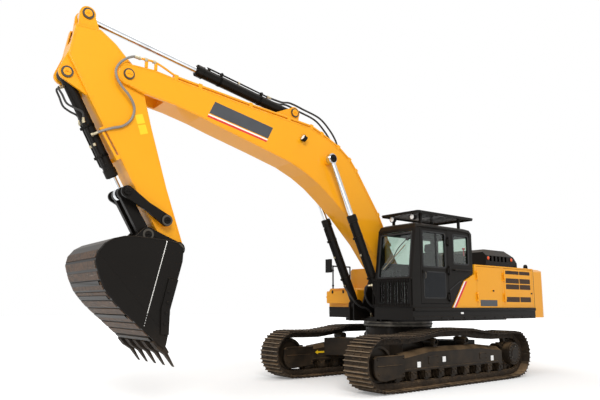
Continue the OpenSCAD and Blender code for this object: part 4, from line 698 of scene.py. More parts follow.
def chain_pins(track):
    """The pins of one track in order round its loop, at the middle of its width."""
    ends = {}
    for face in track.data.polygons:
        if abs(face.normal.y) < 0.01:
            key = (round(face.normal.x, 2), round(face.normal.z, 2),
                   round(face.normal.dot(face.center), 3))
            points = ends.setdefault(key, (face.normal.copy(), []))[1]
            points.extend(track.data.vertices[v].co for v in face.vertices)
    pins = []
    for normal, points in ends.values():
        out = Vector((normal.z, 0, -normal.x))
        heights = [p.dot(out) for p in points]
        if abs(max(heights) - min(heights) - END_HEIGHT) > 0.001:
            continue
        centre = normal * normal.dot(points[0]) + out * (max(heights) + min(heights)) / 2
        if out.dot(centre - LOOP_CENTRE) < 0:
            out = -out
        pin = centre + normal * SHOE_GAP / 2 - out * END_MIDDLE
        if all((pin - other).length > 0.05 for other in pins):
            pins.append(pin)
    pins.sort(key=lambda p: math.atan2(p.z - LOOP_CENTRE.z, p.x))
    return [Vector((p.x, (low[track.name].y + high[track.name].y) / 2, p.z)) for p in pins]


def laid_across(place, ahead, out):
    """Plates that lie across a track; u runs along it and v over its width."""
    return lambda u, v, depth: place + ahead * u + Vector((0, v, 0)) + out * depth


def strip(width, length):
    """A rectangle round (0, 0)."""
    x, y = width / 2, length / 2
    return [(-x, -y), (x, -y), (x, y), (-x, y)]


tracks = {track: chain_pins(nodes[track]) for track in ("track_left", "track_right")}
shoe_width = high["track_left"].y - low["track_left"].y
print({track: len(pins) for track, pins in tracks.items()}, "pins")

# %% Shoe bolts, bars, lips, links and pin ends
SHOE_BOLT, BOLT_SIDE = 0.026, 0.086
BOLT_WAYS = (0.29, 0.71)
BAR_TIP, BAR_SUNK, BAR_PROUD = 0.014, 0.003, 0.0004
LIP_WIDTH, LIP_LOW, LIP_HIGH = 0.052, 0.044, 0.0545
LINK_SIDE, LINK_HALF, LINK_THICK = 0.112, 0.040, 0.004
PIN_END = [(0.026, -0.001), (0.026, 0.009), (0.022, 0.011)]


def link_outline(reach):
    """A link's side: two round ends joined by straight edges."""
    turns = [TURN * (0.25 + k / 16) for k in range(9)]
    end = [(LINK_HALF * math.cos(t), LINK_HALF * 0.9 * math.sin(t)) for t in turns]
    return end + [(reach - x, -z) for x, z in end]


for track, pins in tracks.items():
    heads, wear, lips, links = [], [], [], []
    for i, p in enumerate(pins):
        before, q = pins[i - 1], pins[(i + 1) % len(pins)]
        pitch = (q - p).length
        ahead = (q - p) / pitch
        out = Vector((ahead.z, 0, -ahead.x))
        for way in BOLT_WAYS:
            for y in (BOLT_SIDE, -BOLT_SIDE):
                heads += bolt(p + ahead * pitch * way + out * VALLEY + Vector((0, y, 0)), out, SHOE_BOLT)
        for way in ((SHOE_GAP + BAR_TIP) / 2, pitch / 2, pitch - (SHOE_GAP + BAR_TIP) / 2):
            place = laid_across(p + ahead * way, ahead, out)
            wear.append(plate(strip(BAR_TIP, shoe_width), place, BAR_TOP - BAR_SUNK, BAR_TOP + BAR_PROUD,
                              0.001))
        along = (q - before).normalized()
        place = laid_across(p, along, Vector((along.z, 0, -along.x)))
        lips.append(plate(strip(LIP_WIDTH, shoe_width - 0.01), place, LIP_LOW, LIP_HIGH))
        for side in (Vector((0, 1, 0)), Vector((0, -1, 0))):
            base = p + side * LINK_SIDE
            bar = plate(link_outline(pitch), lambda u, v, d: base + ahead * u - out * v + side * d,
                        -0.001, LINK_THICK + 0.003 * (i % 2))
            links += [bar, turned(base, side, PIN_END, 16)]
    piece(track + "_bolts", "undercarriage", finishes["worn_steel"], heads)
    piece(track + "_wear", "undercarriage", bar_wear, wear)
    piece(track + "_lips", "undercarriage", finishes["worn_steel"], lips)
    piece(track + "_links", "undercarriage", finishes["worn_steel"], links)
    print(track, len(wear), "bars,", len(links) // 2, "links")

# %% [markdown]
# ## Idlers, drives and rollers
# Each axle ends in a cap with a ring of bolts. The final drive's cover carries its own ring and two oil
# plugs, and the sprocket is bolted to the drive so that it can be changed when its teeth are worn.

# %% Caps and bolts of the running gear
track_y = (low["track_left"].y + high["track_left"].y) / 2
idler = (low["idlers"] + high["idlers"]) / 2
drive = (low["final_drives"] + high["final_drives"]) / 2
frame_half = high["side_frames"].y - track_y
CAP_PROUD, COVER_FACE, SPROCKET_FACE, CARRIER_FACE = 0.022, 0.206, 0.046, 0.140
IDLER_CAP = [(0.066, -0.004), (0.066, 0.006), (0.058, 0.012), (0.02, 0.012), (0.018, 0.008)]
DRIVE_CAP = [(0.12, -0.002), (0.12, 0.006), (0.112, 0.012), (0.05, 0.012)]
CARRIER_CAP = [(0.060, -0.03), (0.060, 0.0), (0.050, 0.008), (0.015, 0.008)]
ROLLER_CAP = [(0.034, -0.002), (0.034, 0.006), (0.026, 0.010)]
PLUG_PLACES, PLUG_KEY = ((0, 0.15), (0.13, -0.075)), 0.034

caps, drive_bolts, plugs = [], [], []
for side in (1, -1):
    y = side * track_y
    for out in (1, -1):
        face = Vector((idler.x, y + out * (frame_half + CAP_PROUD), idler.z))
        caps.append(turned(face, (0, out, 0), IDLER_CAP))
        caps += bolt_circle(face + Vector((0, out * 0.012, 0)), (0, out, 0), 0.042, 4, 0.014, TURN / 8)
    hub = Vector((drive.x, y, drive.z))
    cover = hub + Vector((0, side * COVER_FACE, 0))
    drive_bolts += bolt_circle(cover, (0, side, 0), 0.185, 16, 0.022)
    drive_bolts += bolt_circle(hub + Vector((0, side * SPROCKET_FACE, 0)), (0, side, 0), 0.268, 22, 0.024)
    caps.append(turned(cover, (0, side, 0), DRIVE_CAP, 48))
    for x, z in PLUG_PLACES:
        plugs += bolt(cover + Vector((x, 0, z)), (0, side, 0), PLUG_KEY)
carrier_low, carrier_high = low["carrier_rollers"], high["carrier_rollers"]
crests = [v.co.x for v in nodes["carrier_rollers"].data.vertices if v.co.z > carrier_high.z - 0.0005]
for axis_x in {round(x, 2) for x in crests}:
    for side in (1, -1):
        face = Vector((axis_x, side * track_y + CARRIER_FACE * side,
                       (carrier_low.z + carrier_high.z) / 2))
        caps.append(turned(face, (0, side, 0), CARRIER_CAP))
        caps += bolt_circle(face + Vector((0, side * 0.008, 0)), (0, side, 0), 0.036, 3, 0.014)
piece("axle_caps", "undercarriage", black, caps)
piece("drive_bolts", "undercarriage", black, drive_bolts)
piece("oil_plugs", "undercarriage", steel, plugs)
print(len(drive_bolts) // 2, "drive bolts")

# %% Ends of the track rollers
ROLLER_COUNT = 9
ROLLER_KEY, ROLLER_BOLTS = 0.024, ((-0.052, 0.045), (0.052, 0.045))
roller_low, roller_high = low["track_rollers"], high["track_rollers"]
roller_radius = (roller_high.z - roller_low.z) / 2
first, last = roller_low.x + roller_radius, roller_high.x - roller_radius
roller_bolts = []
for i in range(ROLLER_COUNT):
    x = first + (last - first) * i / (ROLLER_COUNT - 1)
    for side in (1, -1):
        for out in (1, -1):
            face = Vector((x, side * track_y + out * frame_half, (roller_low.z + roller_high.z) / 2))
            roller_bolts.append(turned(face, (0, out, 0), ROLLER_CAP, 20))
            for x_off, z_off in ROLLER_BOLTS:
                roller_bolts += bolt(face + Vector((x_off, 0, z_off)), (0, out, 0), ROLLER_KEY)
piece("roller_bolts", "undercarriage", black, roller_bolts)
print(ROLLER_COUNT, "rollers a side")

# %% Webs between the rollers
WEB_PLAY, WEB_HALF = 0.006, 0.010
WEB_LOW, WEB_TOP = 0.165, 0.545


def web_outline(span, axis_z, radius):
    """A web between two rollers that leaves room for both; each reaches over its rollers to the next web."""
    start = math.asin((WEB_LOW - axis_z) / radius)
    turns = [start + (TURN / 4 - start) * k / 8 for k in range(9)]
    arc = [(radius * math.cos(t) - span / 2, axis_z + radius * math.sin(t)) for t in turns]
    return arc + [(-span / 2, WEB_TOP), (span / 2, WEB_TOP)] + [(-x, z) for x, z in reversed(arc)]


roller_step = (last - first) / (ROLLER_COUNT - 1)
web = web_outline(roller_step, (roller_low.z + roller_high.z) / 2, roller_radius + WEB_PLAY)
webs = []
for i in range(ROLLER_COUNT - 1):
    for side in (1, -1):
        place = facing_y((first + roller_step * (i + 0.5), side * track_y, 0), side)
        webs.append(plate(web, place, -WEB_HALF, WEB_HALF))
piece("roller_webs", "undercarriage", black, webs)
print(len(webs), "webs")

# %% [markdown]
# ## Track frames
# The frame is a welded box with a sloping roof that sheds soil. A flat bar along its foot keeps stones
# off the rollers, bolted plates cover the way in to the track tensioner, deep guards close off the
# idlers, and small blank films sit on its outer side.

# %% Roofs of the frames
ROOF_STATIONS = ((-1.60, 0.585), (-0.89, 0.655), (0.692, 0.655), (1.47, 0.562))
ROOF_RISE, RIDGE_HALF, ROOF_HALF = 0.075, 0.040, frame_half - 0.004

roofs = []
for side in (1, -1):
    rings = []
    for x, z in ROOF_STATIONS:
        eaves, ridge = z - 0.002, z + ROOF_RISE
        section = ((ROOF_HALF, eaves), (RIDGE_HALF, ridge), (-RIDGE_HALF, ridge), (-ROOF_HALF, eaves))
        rings.append([Vector((x, side * track_y + y, height)) for y, height in section])
    roofs.append(loft(rings))
piece("frame_roofs", "undercarriage", black, roofs)
print(len(roofs), "roofs")

# %% Guards, covers and blank films
BAR_ENDS, BAR_MIDDLE, BAR_DEPTH = (-1.50, 1.45), 0.365, 0.026
COVER_PLACES = ((0.62, 0.50, 0.30, 0.15), (-0.95, 0.50, 0.24, 0.13))
YOKE_GUARD = [
    (1.47, 0.255), (1.47, 0.640), (2.17, 0.640), (2.23, 0.60),
    (2.24, 0.42), (2.20, 0.30), (2.12, 0.225), (1.98, 0.205),
]
YOKE_DEPTH = 0.055
YOKE_RIBS = ((1.84, 0.628, 0.70, 0.024), (1.86, 0.470, 0.62, 0.018))
YOKE_BOLTS = ((1.51, 0.585), (2.16, 0.585), (1.51, 0.31), (2.13, 0.33))
COVER_INSET, COVER_THICK = 0.022, 0.008
FILM_PLACES, FILM_SIZE = ((1.03, 0.44), (0.30, 0.50), (-1.27, 0.44)), (0.095, 0.100)
FILM_LAYERS = (-0.001, 0.0012, 0.0004)

guards, covers, films = [], [], []
for side in (1, -1):
    for out in (1, -1):
        flank = side * track_y + out * frame_half
        place = facing_y((sum(BAR_ENDS) / 2, flank, BAR_MIDDLE), out)
        guards.append(plate(rounded(BAR_ENDS[1] - BAR_ENDS[0], BAR_DEPTH, 0.008), place, -0.004, 0.014))
        guards.append(plate(YOKE_GUARD, facing_y((0, flank, 0), out), -0.002, YOKE_DEPTH, 0.010))
        for x, z, w, h in YOKE_RIBS:
            place = facing_y((x, flank + out * YOKE_DEPTH, z), out)
            guards.append(plate(rounded(w, h, h / 3), place, -0.002, 0.012, 0.005))
        for x, z in YOKE_BOLTS:
            guards += bolt((x, flank + out * YOKE_DEPTH, z), (0, out, 0), 0.022)
    outer = side * (track_y + frame_half)
    for x, z, w, h in COVER_PLACES:
        covers.append(plate(rounded(w, h, 0.03), facing_y((x, outer, z), side), -0.001, COVER_THICK))
        for x_way, z_way in ((1, 1), (1, -1), (-1, 1), (-1, -1)):
            bolt_x, bolt_z = x + x_way * (w / 2 - COVER_INSET), z + z_way * (h / 2 - COVER_INSET)
            covers += bolt((bolt_x, outer + side * COVER_THICK, bolt_z), (0, side, 0), 0.016)
    for x, z in FILM_PLACES:
        films.append(plate(rounded(*FILM_SIZE, 0.006), facing_y((x, outer, z), side), *FILM_LAYERS))
piece("stone_guards", "undercarriage", black, guards)
piece("frame_covers", "undercarriage", black, covers)
piece("blank_films", "undercarriage", white_film, films)
print("guards, covers and", len(films), "blank films")

# %% Arrow of travel
ARROW = [
    (-0.13, -0.018), (0.05, -0.018), (0.05, -0.045), (0.13, 0.0),
    (0.05, 0.045), (0.05, 0.018), (-0.13, 0.018),
]
ARROW_PLACE = (1.25, 0.50)

inner = -(track_y - frame_half)
arrow = plate(ARROW, facing_y((ARROW_PLACE[0], inner, ARROW_PLACE[1]), 1), *FILM_LAYERS)
piece("travel_arrow", "undercarriage", label_film, [arrow])
print("an arrow of travel on the right frame")

# %% Bolts and seal of the slewing ring
RING_BOLT, RING_COUNT, RING_INSET = [(0.011, 0.001), (0.011, -0.028), (0.009, -0.030)], 48, 0.022
SEAL_LIP = ((-0.004, 0.040), (0.010, 0.046), (0.010, 0.058), (-0.004, 0.064))

ring_radius, ring_low = high["slew_ring"].x, low["slew_ring"].z
ring_bolts = []
for p in ring(Vector((0, 0, ring_low - 0.0005)), (0, 0, 1), ring_radius - RING_INSET, RING_COUNT):
    ring_bolts.append(turned(p, (0, 0, 1), RING_BOLT, 8))
piece("ring_bolts", "undercarriage", black, ring_bolts)
lip = [(ring_radius + out, way) for out, way in SEAL_LIP]
piece("ring_seal", "undercarriage", gasket, [hooped(Vector((0, 0, ring_low)), (0, 0, 1), lip, 96)])
print(RING_COUNT, "ring bolts")

# %% [markdown]
# ## Flanks of the upper structure
# A folded strip runs along the side beam under the doors, and two stripes of film follow the slanted
# front edge of the left panel. Doors are held by paddle latches. The rear door's skin is pierced in rows
# before the coolers, and wires across the openings keep leaves out.

# %% Skirt strips
flank = high["counterweight"].y
skirt_low, skirt_top = low["side_beams"].z, high["side_beams"].z
house_top = high["counterweight"].z
UPPER_FOLD = ((0.0, 0.006), (0.034, 0.0), (0.034, -0.052), (0.024, -0.060), (0.0, -0.060))
LOWER_FOLD = ((0.0, 0.070), (0.012, 0.064), (0.012, 0.006), (0.0, 0.0))
STRIP_FRONTS = {1: 1.20, -1: 0.64}
SKIRT_FIRST, SKIRT_STEP, SKIRT_COUNT = -2.75, 0.35, 10
REFLECTOR, REFLECTOR_X, REFLECTOR_RISE = (0.09, 0.036, 0.008), -0.25, 0.128

strips, skirt_bolts, reflectors = [], [], []
for side, front in STRIP_FRONTS.items():
    ends = (low["side_beams"].x + 0.01, front)
    for fold, base in ((UPPER_FOLD, skirt_top), (LOWER_FOLD, skirt_low)):
        section = [(side * (flank - 0.002 + out), base + rise) for out, rise in fold]
        strips.append(loft([[Vector((x, y, z)) for y, z in section] for x in ends]))
    for k in range(SKIRT_COUNT):
        place = (SKIRT_FIRST + k * SKIRT_STEP, side * (flank + 0.010), skirt_low + 0.035)
        skirt_bolts += bolt(place, (0, side, 0), 0.020)
    place = facing_y((REFLECTOR_X, side * flank, skirt_low + REFLECTOR_RISE), side)
    reflectors.append(plate(rounded(*REFLECTOR), place, -0.001, 0.003, 0.001))
piece("skirt_strips", "upperstructure", black, strips)
piece("skirt_bolts", "upperstructure", black, skirt_bolts)
piece("skirt_reflectors", "upperstructure", white_film, reflectors)
print(len(strips), "strips")

# %% Stripes and latches
STRIPE_FOOT, STRIPE_HEAD = (0.040, 1.475), (-0.350, 1.995)
STRIPE_START, WHITE_WIDTH, RED_WIDTH = 0.008, 0.040, 0.062
LATCHES = (
    ("left_front_door", 1, -1.341, 1.823),
    ("left_rear_door", 1, -2.83, 1.787),
    ("right_rear_door", -1, -2.80, 1.86),
)


def stripe(start, width):
    """A slanted strip of film on the left panel."""
    (x0, z0), (x1, z1) = STRIPE_FOOT, STRIPE_HEAD
    outline = [(x0 - start - width, z0), (x0 - start, z0), (x1 - start, z1), (x1 - start - width, z1)]
    return plate(outline, facing_y((0, flank, 0), 1), -0.001, 0.0010, 0.0003)


piece("white_stripe", "upperstructure", white_film, [stripe(STRIPE_START, WHITE_WIDTH)])
piece("red_stripe", "upperstructure", red_film, [stripe(STRIPE_START + WHITE_WIDTH, RED_WIDTH)])
for door, side, x, z in LATCHES:
    place = facing_y((x, side * flank, z), side)
    dish = plate(rounded(0.085, 0.060, 0.014), place, -0.002, 0.010, 0.003)
    paddle = plate(rounded(0.066, 0.034, 0.008), place, 0.008, 0.016, 0.004)
    piece(door + "_latch", door, yellow, [dish])
    piece(door + "_paddle", door, black, [paddle])
print("two stripes,", len(LATCHES), "latches")

# %% Pierced skin of the left rear door
GRILLE_X, GRILLE_POST, POST_HALF = (-2.805, -1.825), -2.36, 0.012
GRILLE_ROWS = ((1.592, 1.705), (1.868, 1.978), (1.998, 2.107), (2.195, 2.272))
SKIN_X, SKIN_Z, SKIN_THICK = (-2.870, -1.775), (1.530, 2.298), 0.006
WIRE, WIRE_COUNT = 0.003, 4
PLATE_SIZE, PLATE_PLACE = (0.60, 0.13, 0.012), (-1.18, 1.565)


def pierced(xs, zs, openings, y, thick):
    """A skin made of the cells of a grid, without the cells that are open."""
    points = [Vector((x, y + d, z)) for d in (0.0, thick) for z in zs for x in xs]
    wide, layer = len(xs), len(xs) * len(zs)
    solid = {(i, k) for i in range(wide - 1) for k in range(len(zs) - 1)} - set(openings)
    faces = []
    for i, k in solid:
        a, b, c, d = k * wide + i, k * wide + i + 1, (k + 1) * wide + i + 1, (k + 1) * wide + i
        faces += [(a, b, c, d), (layer + d, layer + c, layer + b, layer + a)]
        edges = {(i, k - 1): (a, b), (i + 1, k): (b, c), (i, k + 1): (c, d), (i - 1, k): (d, a)}
        for beside, (p, q) in edges.items():
            if beside not in solid:
                faces.append((q, p, layer + p, layer + q))
    return points, faces


post = (GRILLE_POST - POST_HALF, GRILLE_POST + POST_HALF)
skin_xs = [SKIN_X[0], GRILLE_X[0], *post, GRILLE_X[1], SKIN_X[1]]
skin_zs = [SKIN_Z[0], *[z for row in GRILLE_ROWS for z in row], SKIN_Z[1]]
openings = [(i, 2 * row + 1) for row in range(len(GRILLE_ROWS)) for i in (1, 3)]
skin = pierced(skin_xs, skin_zs, openings, flank - 0.001, SKIN_THICK)
piece("left_rear_door_skin", "left_rear_door", yellow, [skin])
# Flat sheets in the skin's plane fill the openings; their dark brown is painted shade of the cooler's recess.
shade_sheets, wires = [], []
for z0, z1 in GRILLE_ROWS:
    place = facing_y((sum(GRILLE_X) / 2, flank, (z0 + z1) / 2), 1)
    shade_sheets.append(plate(strip(GRILLE_X[1] - GRILLE_X[0], z1 - z0), place, *FILM_LAYERS))
    for k in range(1, WIRE_COUNT + 1):
        z = z0 + (z1 - z0) * k / (WIRE_COUNT + 1)
        wires.append(swept([(x, flank + WIRE, z) for x in GRILLE_X], WIRE, 8))
piece("left_rear_door_core", "left_rear_door", cooler_core, shade_sheets)
piece("left_rear_door_wires", "left_rear_door", black, wires)
blank = plate(rounded(*PLATE_SIZE), facing_y((PLATE_PLACE[0], flank, PLATE_PLACE[1]), 1), *FILM_LAYERS)
piece("blank_plate", "left_front_door", band_film, [blank])
print(len(GRILLE_ROWS), "rows of openings,", len(wires), "wires")

# %% [markdown]
# ## Hood and counterweight
# The hood's slots lie between two amber marker lamps. The counterweight is one heavy casting; its rear
# carries two red lamps and a camera in a small box, and a rubber strip closes its seam with the house.

# %% Marker lamps and ribs of the hood
HOOD_LAMPS, HOOD_LAMP_HEIGHT = (-1.955, -2.885), 2.585
LAMP_RING = [(0.052, -0.002), (0.052, 0.010), (0.044, 0.014), (0.040, 0.010)]
LAMP_DOME = [(0.040, 0.004), (0.040, 0.016), (0.030, 0.026), (0.012, 0.030)]
RIB_SIDE, RIB_HALF = [(-2.72, 0.0), (-2.10, 0.0), (-2.12, 0.010), (-2.70, 0.010)], 0.022
RIB_PLACES = (-0.5, -0.25, 0.0, 0.25, 0.5)

hood_side, hood_top = high["hood"].y, high["hood"].z
lamps, bezels = [], []
for side in (1, -1):
    for x in HOOD_LAMPS:
        face = Vector((x, side * hood_side, HOOD_LAMP_HEIGHT))
        bezels.append(turned(face, (0, side, 0), LAMP_RING, 28))
        lamps.append(turned(face, (0, side, 0), LAMP_DOME, 28))
piece("hood_lamp_rings", "hood", finishes["moulded_plastic"], bezels)
piece("hood_lamps", "hood", amber, lamps)
ribs = [plate(RIB_SIDE, facing_y((0, y, hood_top - 0.002), 1), -RIB_HALF, RIB_HALF, 0.004)
        for y in RIB_PLACES]
piece("hood_ribs", "hood", black, ribs)
print(len(lamps), "marker lamps,", len(ribs), "ribs")

# %% Tail lamps, camera and seams of the counterweight
TAIL_PLACES, TAIL_HEIGHT = (0.98, -0.98), 1.95
TAIL_FRAME, TAIL_LENS = (0.24, 0.11, 0.03), (0.21, 0.08, 0.022)
CAMERA_BOX, CAMERA_HEIGHT = (0.11, 0.09, 0.015), 2.16
CAMERA_EYE = [(0.024, -0.01), (0.024, 0.012), (0.016, 0.014), (0.012, 0.008)]
SEAM_X, SEAM_WIDTH, SEAM_FOOT, SEAM_MIDDLE = -2.957, 0.012, 1.30, 1.27

behind = low["counterweight"].x - 1
tail, tail_rings = [], []
for y in TAIL_PLACES:
    place = facing(*seat("counterweight", (behind, y, TAIL_HEIGHT), (1, 0, 0)))
    tail_rings.append(plate(rounded(*TAIL_FRAME), place, -0.03, 0.012, 0.004))
    tail.append(plate(rounded(*TAIL_LENS), place, 0.008, 0.018, 0.005))
piece("tail_lamp_frames", "upperstructure", finishes["moulded_plastic"], tail_rings)
piece("tail_lamps", "upperstructure", red_lens, tail)
place, normal = seat("counterweight", (behind, 0, CAMERA_HEIGHT), (1, 0, 0))
box = plate(rounded(*CAMERA_BOX), facing(place, normal), -0.03, 0.02, 0.004)
eye = turned(place + normal * 0.018, normal, CAMERA_EYE, 24)
piece("rear_camera", "upperstructure", finishes["moulded_plastic"], [box, eye])
seam_outline = rounded(SEAM_WIDTH, house_top - SEAM_FOOT, 0.003)
seam_height = (house_top + SEAM_MIDDLE) / 2
weight_seams = []
for side in (1, -1):
    weight_seams.append(plate(seam_outline, facing_y((SEAM_X, side * flank, seam_height), side), -0.004,
                              0.0015, 0.0005))
piece("weight_seams", "upperstructure", gasket, weight_seams)
print(len(tail), "tail lamps, a camera and two seams")

# %% [markdown]
# ## Tanks, toolbox and steps
# Fuel and oil tanks stand on the right behind the toolbox. Treads with studs make the walkway over them
# safe to stand on, and the toolbox has a lid in front and one on its side, each with its hasps.

# %% Treads of the walkway
TREAD_Y, TREAD_THICK, STUD_STEP = -1.03, 0.004, 0.06
TREADS = ((-0.70, -0.10, 0.50, house_top), (-1.35, -0.90, 0.50, house_top),
          (0.10, 0.55, 0.60, high["toolbox"].z))
STUD = [(0.013, -0.001), (0.011, 0.004), (0.006, 0.004)]

treads, grips = [], []
for x0, x1, wide, z in TREADS:
    place = facing_z(((x0 + x1) / 2, TREAD_Y, z), 1)
    treads.append(plate(rounded(x1 - x0, wide, 0.02), place, -0.001, TREAD_THICK, 0.001))
    count = int((x1 - x0) / STUD_STEP)
    for i in range(count):
        for k in range(int(wide / STUD_STEP)):
            x = x0 + STUD_STEP / 2 + i * (x1 - x0) / count
            y = TREAD_Y - wide / 2 + 0.035 + k * STUD_STEP
            grips.append(turned((x, y, z + TREAD_THICK), (0, 0, 1), STUD, 8))
piece("walkway_treads", "upperstructure", black, treads + grips)
print(len(treads), "treads,", len(grips), "studs")

# %% Lids, hasps, mirror glass and clamps
LID_THICK, HASP = 0.006, (0.05, 0.07, 0.01)
HASP_LAYERS = (-0.001, 0.012, 0.004)
MIRROR_SIZE, MIRROR_BACK = (0.165, 0.28, 0.02), 0.089
RAIL_Y, CLAMP_PLACES = -1.432, ((0.606, 1.95), (0.606, 2.30), (0.07, 1.95))
CLAMP = [(0.022, -0.02), (0.024, -0.016), (0.024, 0.016), (0.022, 0.02)]

box_front = max(v.co.x for v in nodes["toolbox"].data.vertices if v.co.z > high["toolbox"].z - 0.2)
front_lid = plate(rounded(0.78, 0.27, 0.03), facing_x((box_front, -1.03, 1.68), 1), -0.002, LID_THICK)
side_lid = plate(rounded(0.52, 0.27, 0.03), facing_y((0.33, -flank, 1.66), -1), -0.002, LID_THICK)
piece("toolbox_lids", "upperstructure", yellow, [front_lid, side_lid])
hasps = []
for y in (-0.85, -1.21):
    hasps.append(plate(rounded(*HASP), facing_x((box_front + LID_THICK, y, 1.80), 1), *HASP_LAYERS))
hasps.append(plate(rounded(*HASP), facing_y((0.33, -flank - LID_THICK, 1.78), -1), *HASP_LAYERS))
piece("toolbox_hasps", "upperstructure", black, hasps)
mirror = (low["mirrors"] + high["mirrors"]) / 2
glass_place = facing_x((low["mirrors"].x + MIRROR_BACK, mirror.y, mirror.z), -1)
mirror_plate = plate(rounded(*MIRROR_SIZE), glass_place, -0.004, 0.003, 0.001)
piece("mirror_glass", "upperstructure", mirror_face, [mirror_plate])
clamps = [turned((x, RAIL_Y, z), (0, 0, 1), CLAMP, 20) for x, z in CLAMP_PLACES]
piece("rail_clamps", "upperstructure", black, clamps)
print("two lids,", len(hasps), "hasps,", len(clamps), "clamps")

# %% [markdown]
# ## Cab
# The panes sit in rubber gaskets and a wiper rests across the windscreen. A gasket is a narrow frame, so
# one function makes it from the window's outline and its inset.

# %% Gaskets
cab_side, cab_inner, cab_rear = 1.490, 0.522, -0.672
SCREEN_FOOT, SCREEN_HEAD = Vector((1.205, 0, 2.0002)), Vector((1.075, 0, 2.9802))


def frame_shape(outline, width, to_place, bottom, top, edge=0.002):
    """A frame between an outline and its inset."""
    outside = [(bottom, 0.0), (top - edge, 0.0), (top, edge)]
    layers = outside + [(top, width - edge), (top - edge, width), (bottom, width)]
    rings = [[to_place(u, v, depth) for u, v in inset(outline, shrink)] for depth, shrink in layers]
    points, faces = loft(rings + [rings[0]])
    return points, faces[2:]


def window(x0, x1, z0, z1, radius=0.05):
    """A window's outline between its four edges."""
    x, z = (x0 + x1) / 2, (z0 + z1) / 2
    return [(u + x, v + z) for u, v in rounded(x1 - x0, z1 - z0, radius)]


screen_along = (SCREEN_HEAD - SCREEN_FOOT).normalized()
screen_out = Vector((screen_along.z, 0, -screen_along.x))


def on_screen(u, v, depth):
    """A place on the windscreen: across, up along the glass from its foot, and out."""
    return SCREEN_FOOT + screen_along * v + screen_out * depth + Vector((0, u, 0))


seals = [
    frame_shape(window(0.590, 1.422, 0.022, 0.905), 0.032, on_screen, -0.012, 0.006),
    frame_shape(window(0.590, 1.422, 1.530, 1.980), 0.030, facing_x((1.205, 0, 0), 1), -0.012, 0.005),
    frame_shape(window(-0.555, -0.030, 2.320, 2.935), 0.032, facing_y((0, cab_side, 0), 1), -0.012,
                0.006),
    frame_shape(window(-0.555, 0.975, 2.320, 2.935), 0.032, facing_y((0, cab_inner, 0), -1), -0.012,
                0.006),
    frame_shape(window(0.590, 1.422, 2.320, 2.935), 0.032, facing_x((cab_rear, 0, 0), -1), -0.012, 0.006),
]
piece("window_seals", "upperstructure", gasket, seals)
on_flank = facing_y((0, cab_side, 0), 1)
door_seal = frame_shape(window(0.192, 0.903, 2.227, 2.935), 0.030, on_flank, -0.012, 0.006)
divider = plate(rounded(0.034, 0.70, 0.004), facing_y((0.46, cab_side - 0.026, 2.58), 1), -0.004, 0.012)
lower_rim = frame_shape(window(0.215, 0.880, 1.640, 2.160), 0.022, on_flank, -0.010, 0.004)
piece("door_seals", "cab_door", gasket, [door_seal, divider, lower_rim])
lower_pane = plate(window(0.235, 0.860, 1.660, 2.140), on_flank, -0.002, 0.002, 0.001)
piece("door_lower_pane", "cab_door", screen_face, [lower_pane])
print(len(seals), "gaskets round the cab, two on its door")

# %% Handle, wiper, gutter and sill
HANDLE = ((0.86, 0.0, 2.02), (0.855, 0.030, 2.03), (0.855, 0.034, 2.12), (0.86, 0.0, 2.13))
GUTTER = ((1.03, 0.004, 3.0), (0.85, 0.006, 3.02), (0.10, 0.006, 3.02), (-0.52, 0.006, 3.0),
          (-0.58, 0.004, 2.9))
SILL = ((0.11, 0.002, 1.80), (-0.05, 0.004, 1.90), (-0.20, 0.004, 1.975), (-0.34, 0.002, 2.02))
WIPER_PIVOT, WIPER_ELBOW = (1.31, 0.77), (1.12, 0.60)
BLADE_FOOT, BLADE_HEAD = (0.74, 0.20), (1.27, 0.66)
WIPER_MOTOR = [(0.030, -0.01), (0.030, 0.018), (0.018, 0.030), (0.008, 0.034)]


def beside_cab(route):
    """Places on the cab's left side, given as (x, way out, z)."""
    return [(x, cab_side + out, z) for x, out, z in route]


piece("door_handle", "cab_door", steel, [swept(smooth(beside_cab(HANDLE), 4), 0.009)])
blade_middle = ((BLADE_FOOT[0] + BLADE_HEAD[0]) / 2, (BLADE_FOOT[1] + BLADE_HEAD[1]) / 2)
arm_line = [on_screen(*WIPER_PIVOT, 0.022), on_screen(*WIPER_ELBOW, 0.032),
            on_screen(*blade_middle, 0.026)]
wiper_arm = swept(smooth(arm_line, 5), 0.008)
blade = [on_screen(*BLADE_FOOT, 0.016), on_screen(*BLADE_HEAD, 0.016)]
lip = swept([p - screen_out * 0.012 for p in blade], 0.006)
motor = turned(on_screen(*WIPER_PIVOT, 0.0), screen_out, WIPER_MOTOR, 24)
piece("wiper", "upperstructure", finishes["moulded_plastic"], [wiper_arm, motor, lip])
piece("wiper_blade", "upperstructure", zinc, [swept(blade, 0.007)])
piece("rain_gutter", "upperstructure", black, [swept(smooth(beside_cab(GUTTER), 6), 0.010)])
piece("sill_seam", "upperstructure", gasket, [swept(smooth(beside_cab(SILL), 6), 0.010)])
print("handle, wiper, gutter and sill")

# %% [markdown]
# ## Lamps
# A work lamp is a bowl with a moulded lens that stands a little proud of its rim.

# %% Lenses of the work lamps
LAMP_RADIUS, LAMP_INSET, BOWL_DEPTH = 0.058, 0.22, 0.036
LENS_RIM = [(0.060, -0.02), (0.062, 0.002), (0.054, 0.004)]
LENS = [(0.052, -0.004), (0.052, 0.003), (0.040, 0.010), (0.015, 0.014)]

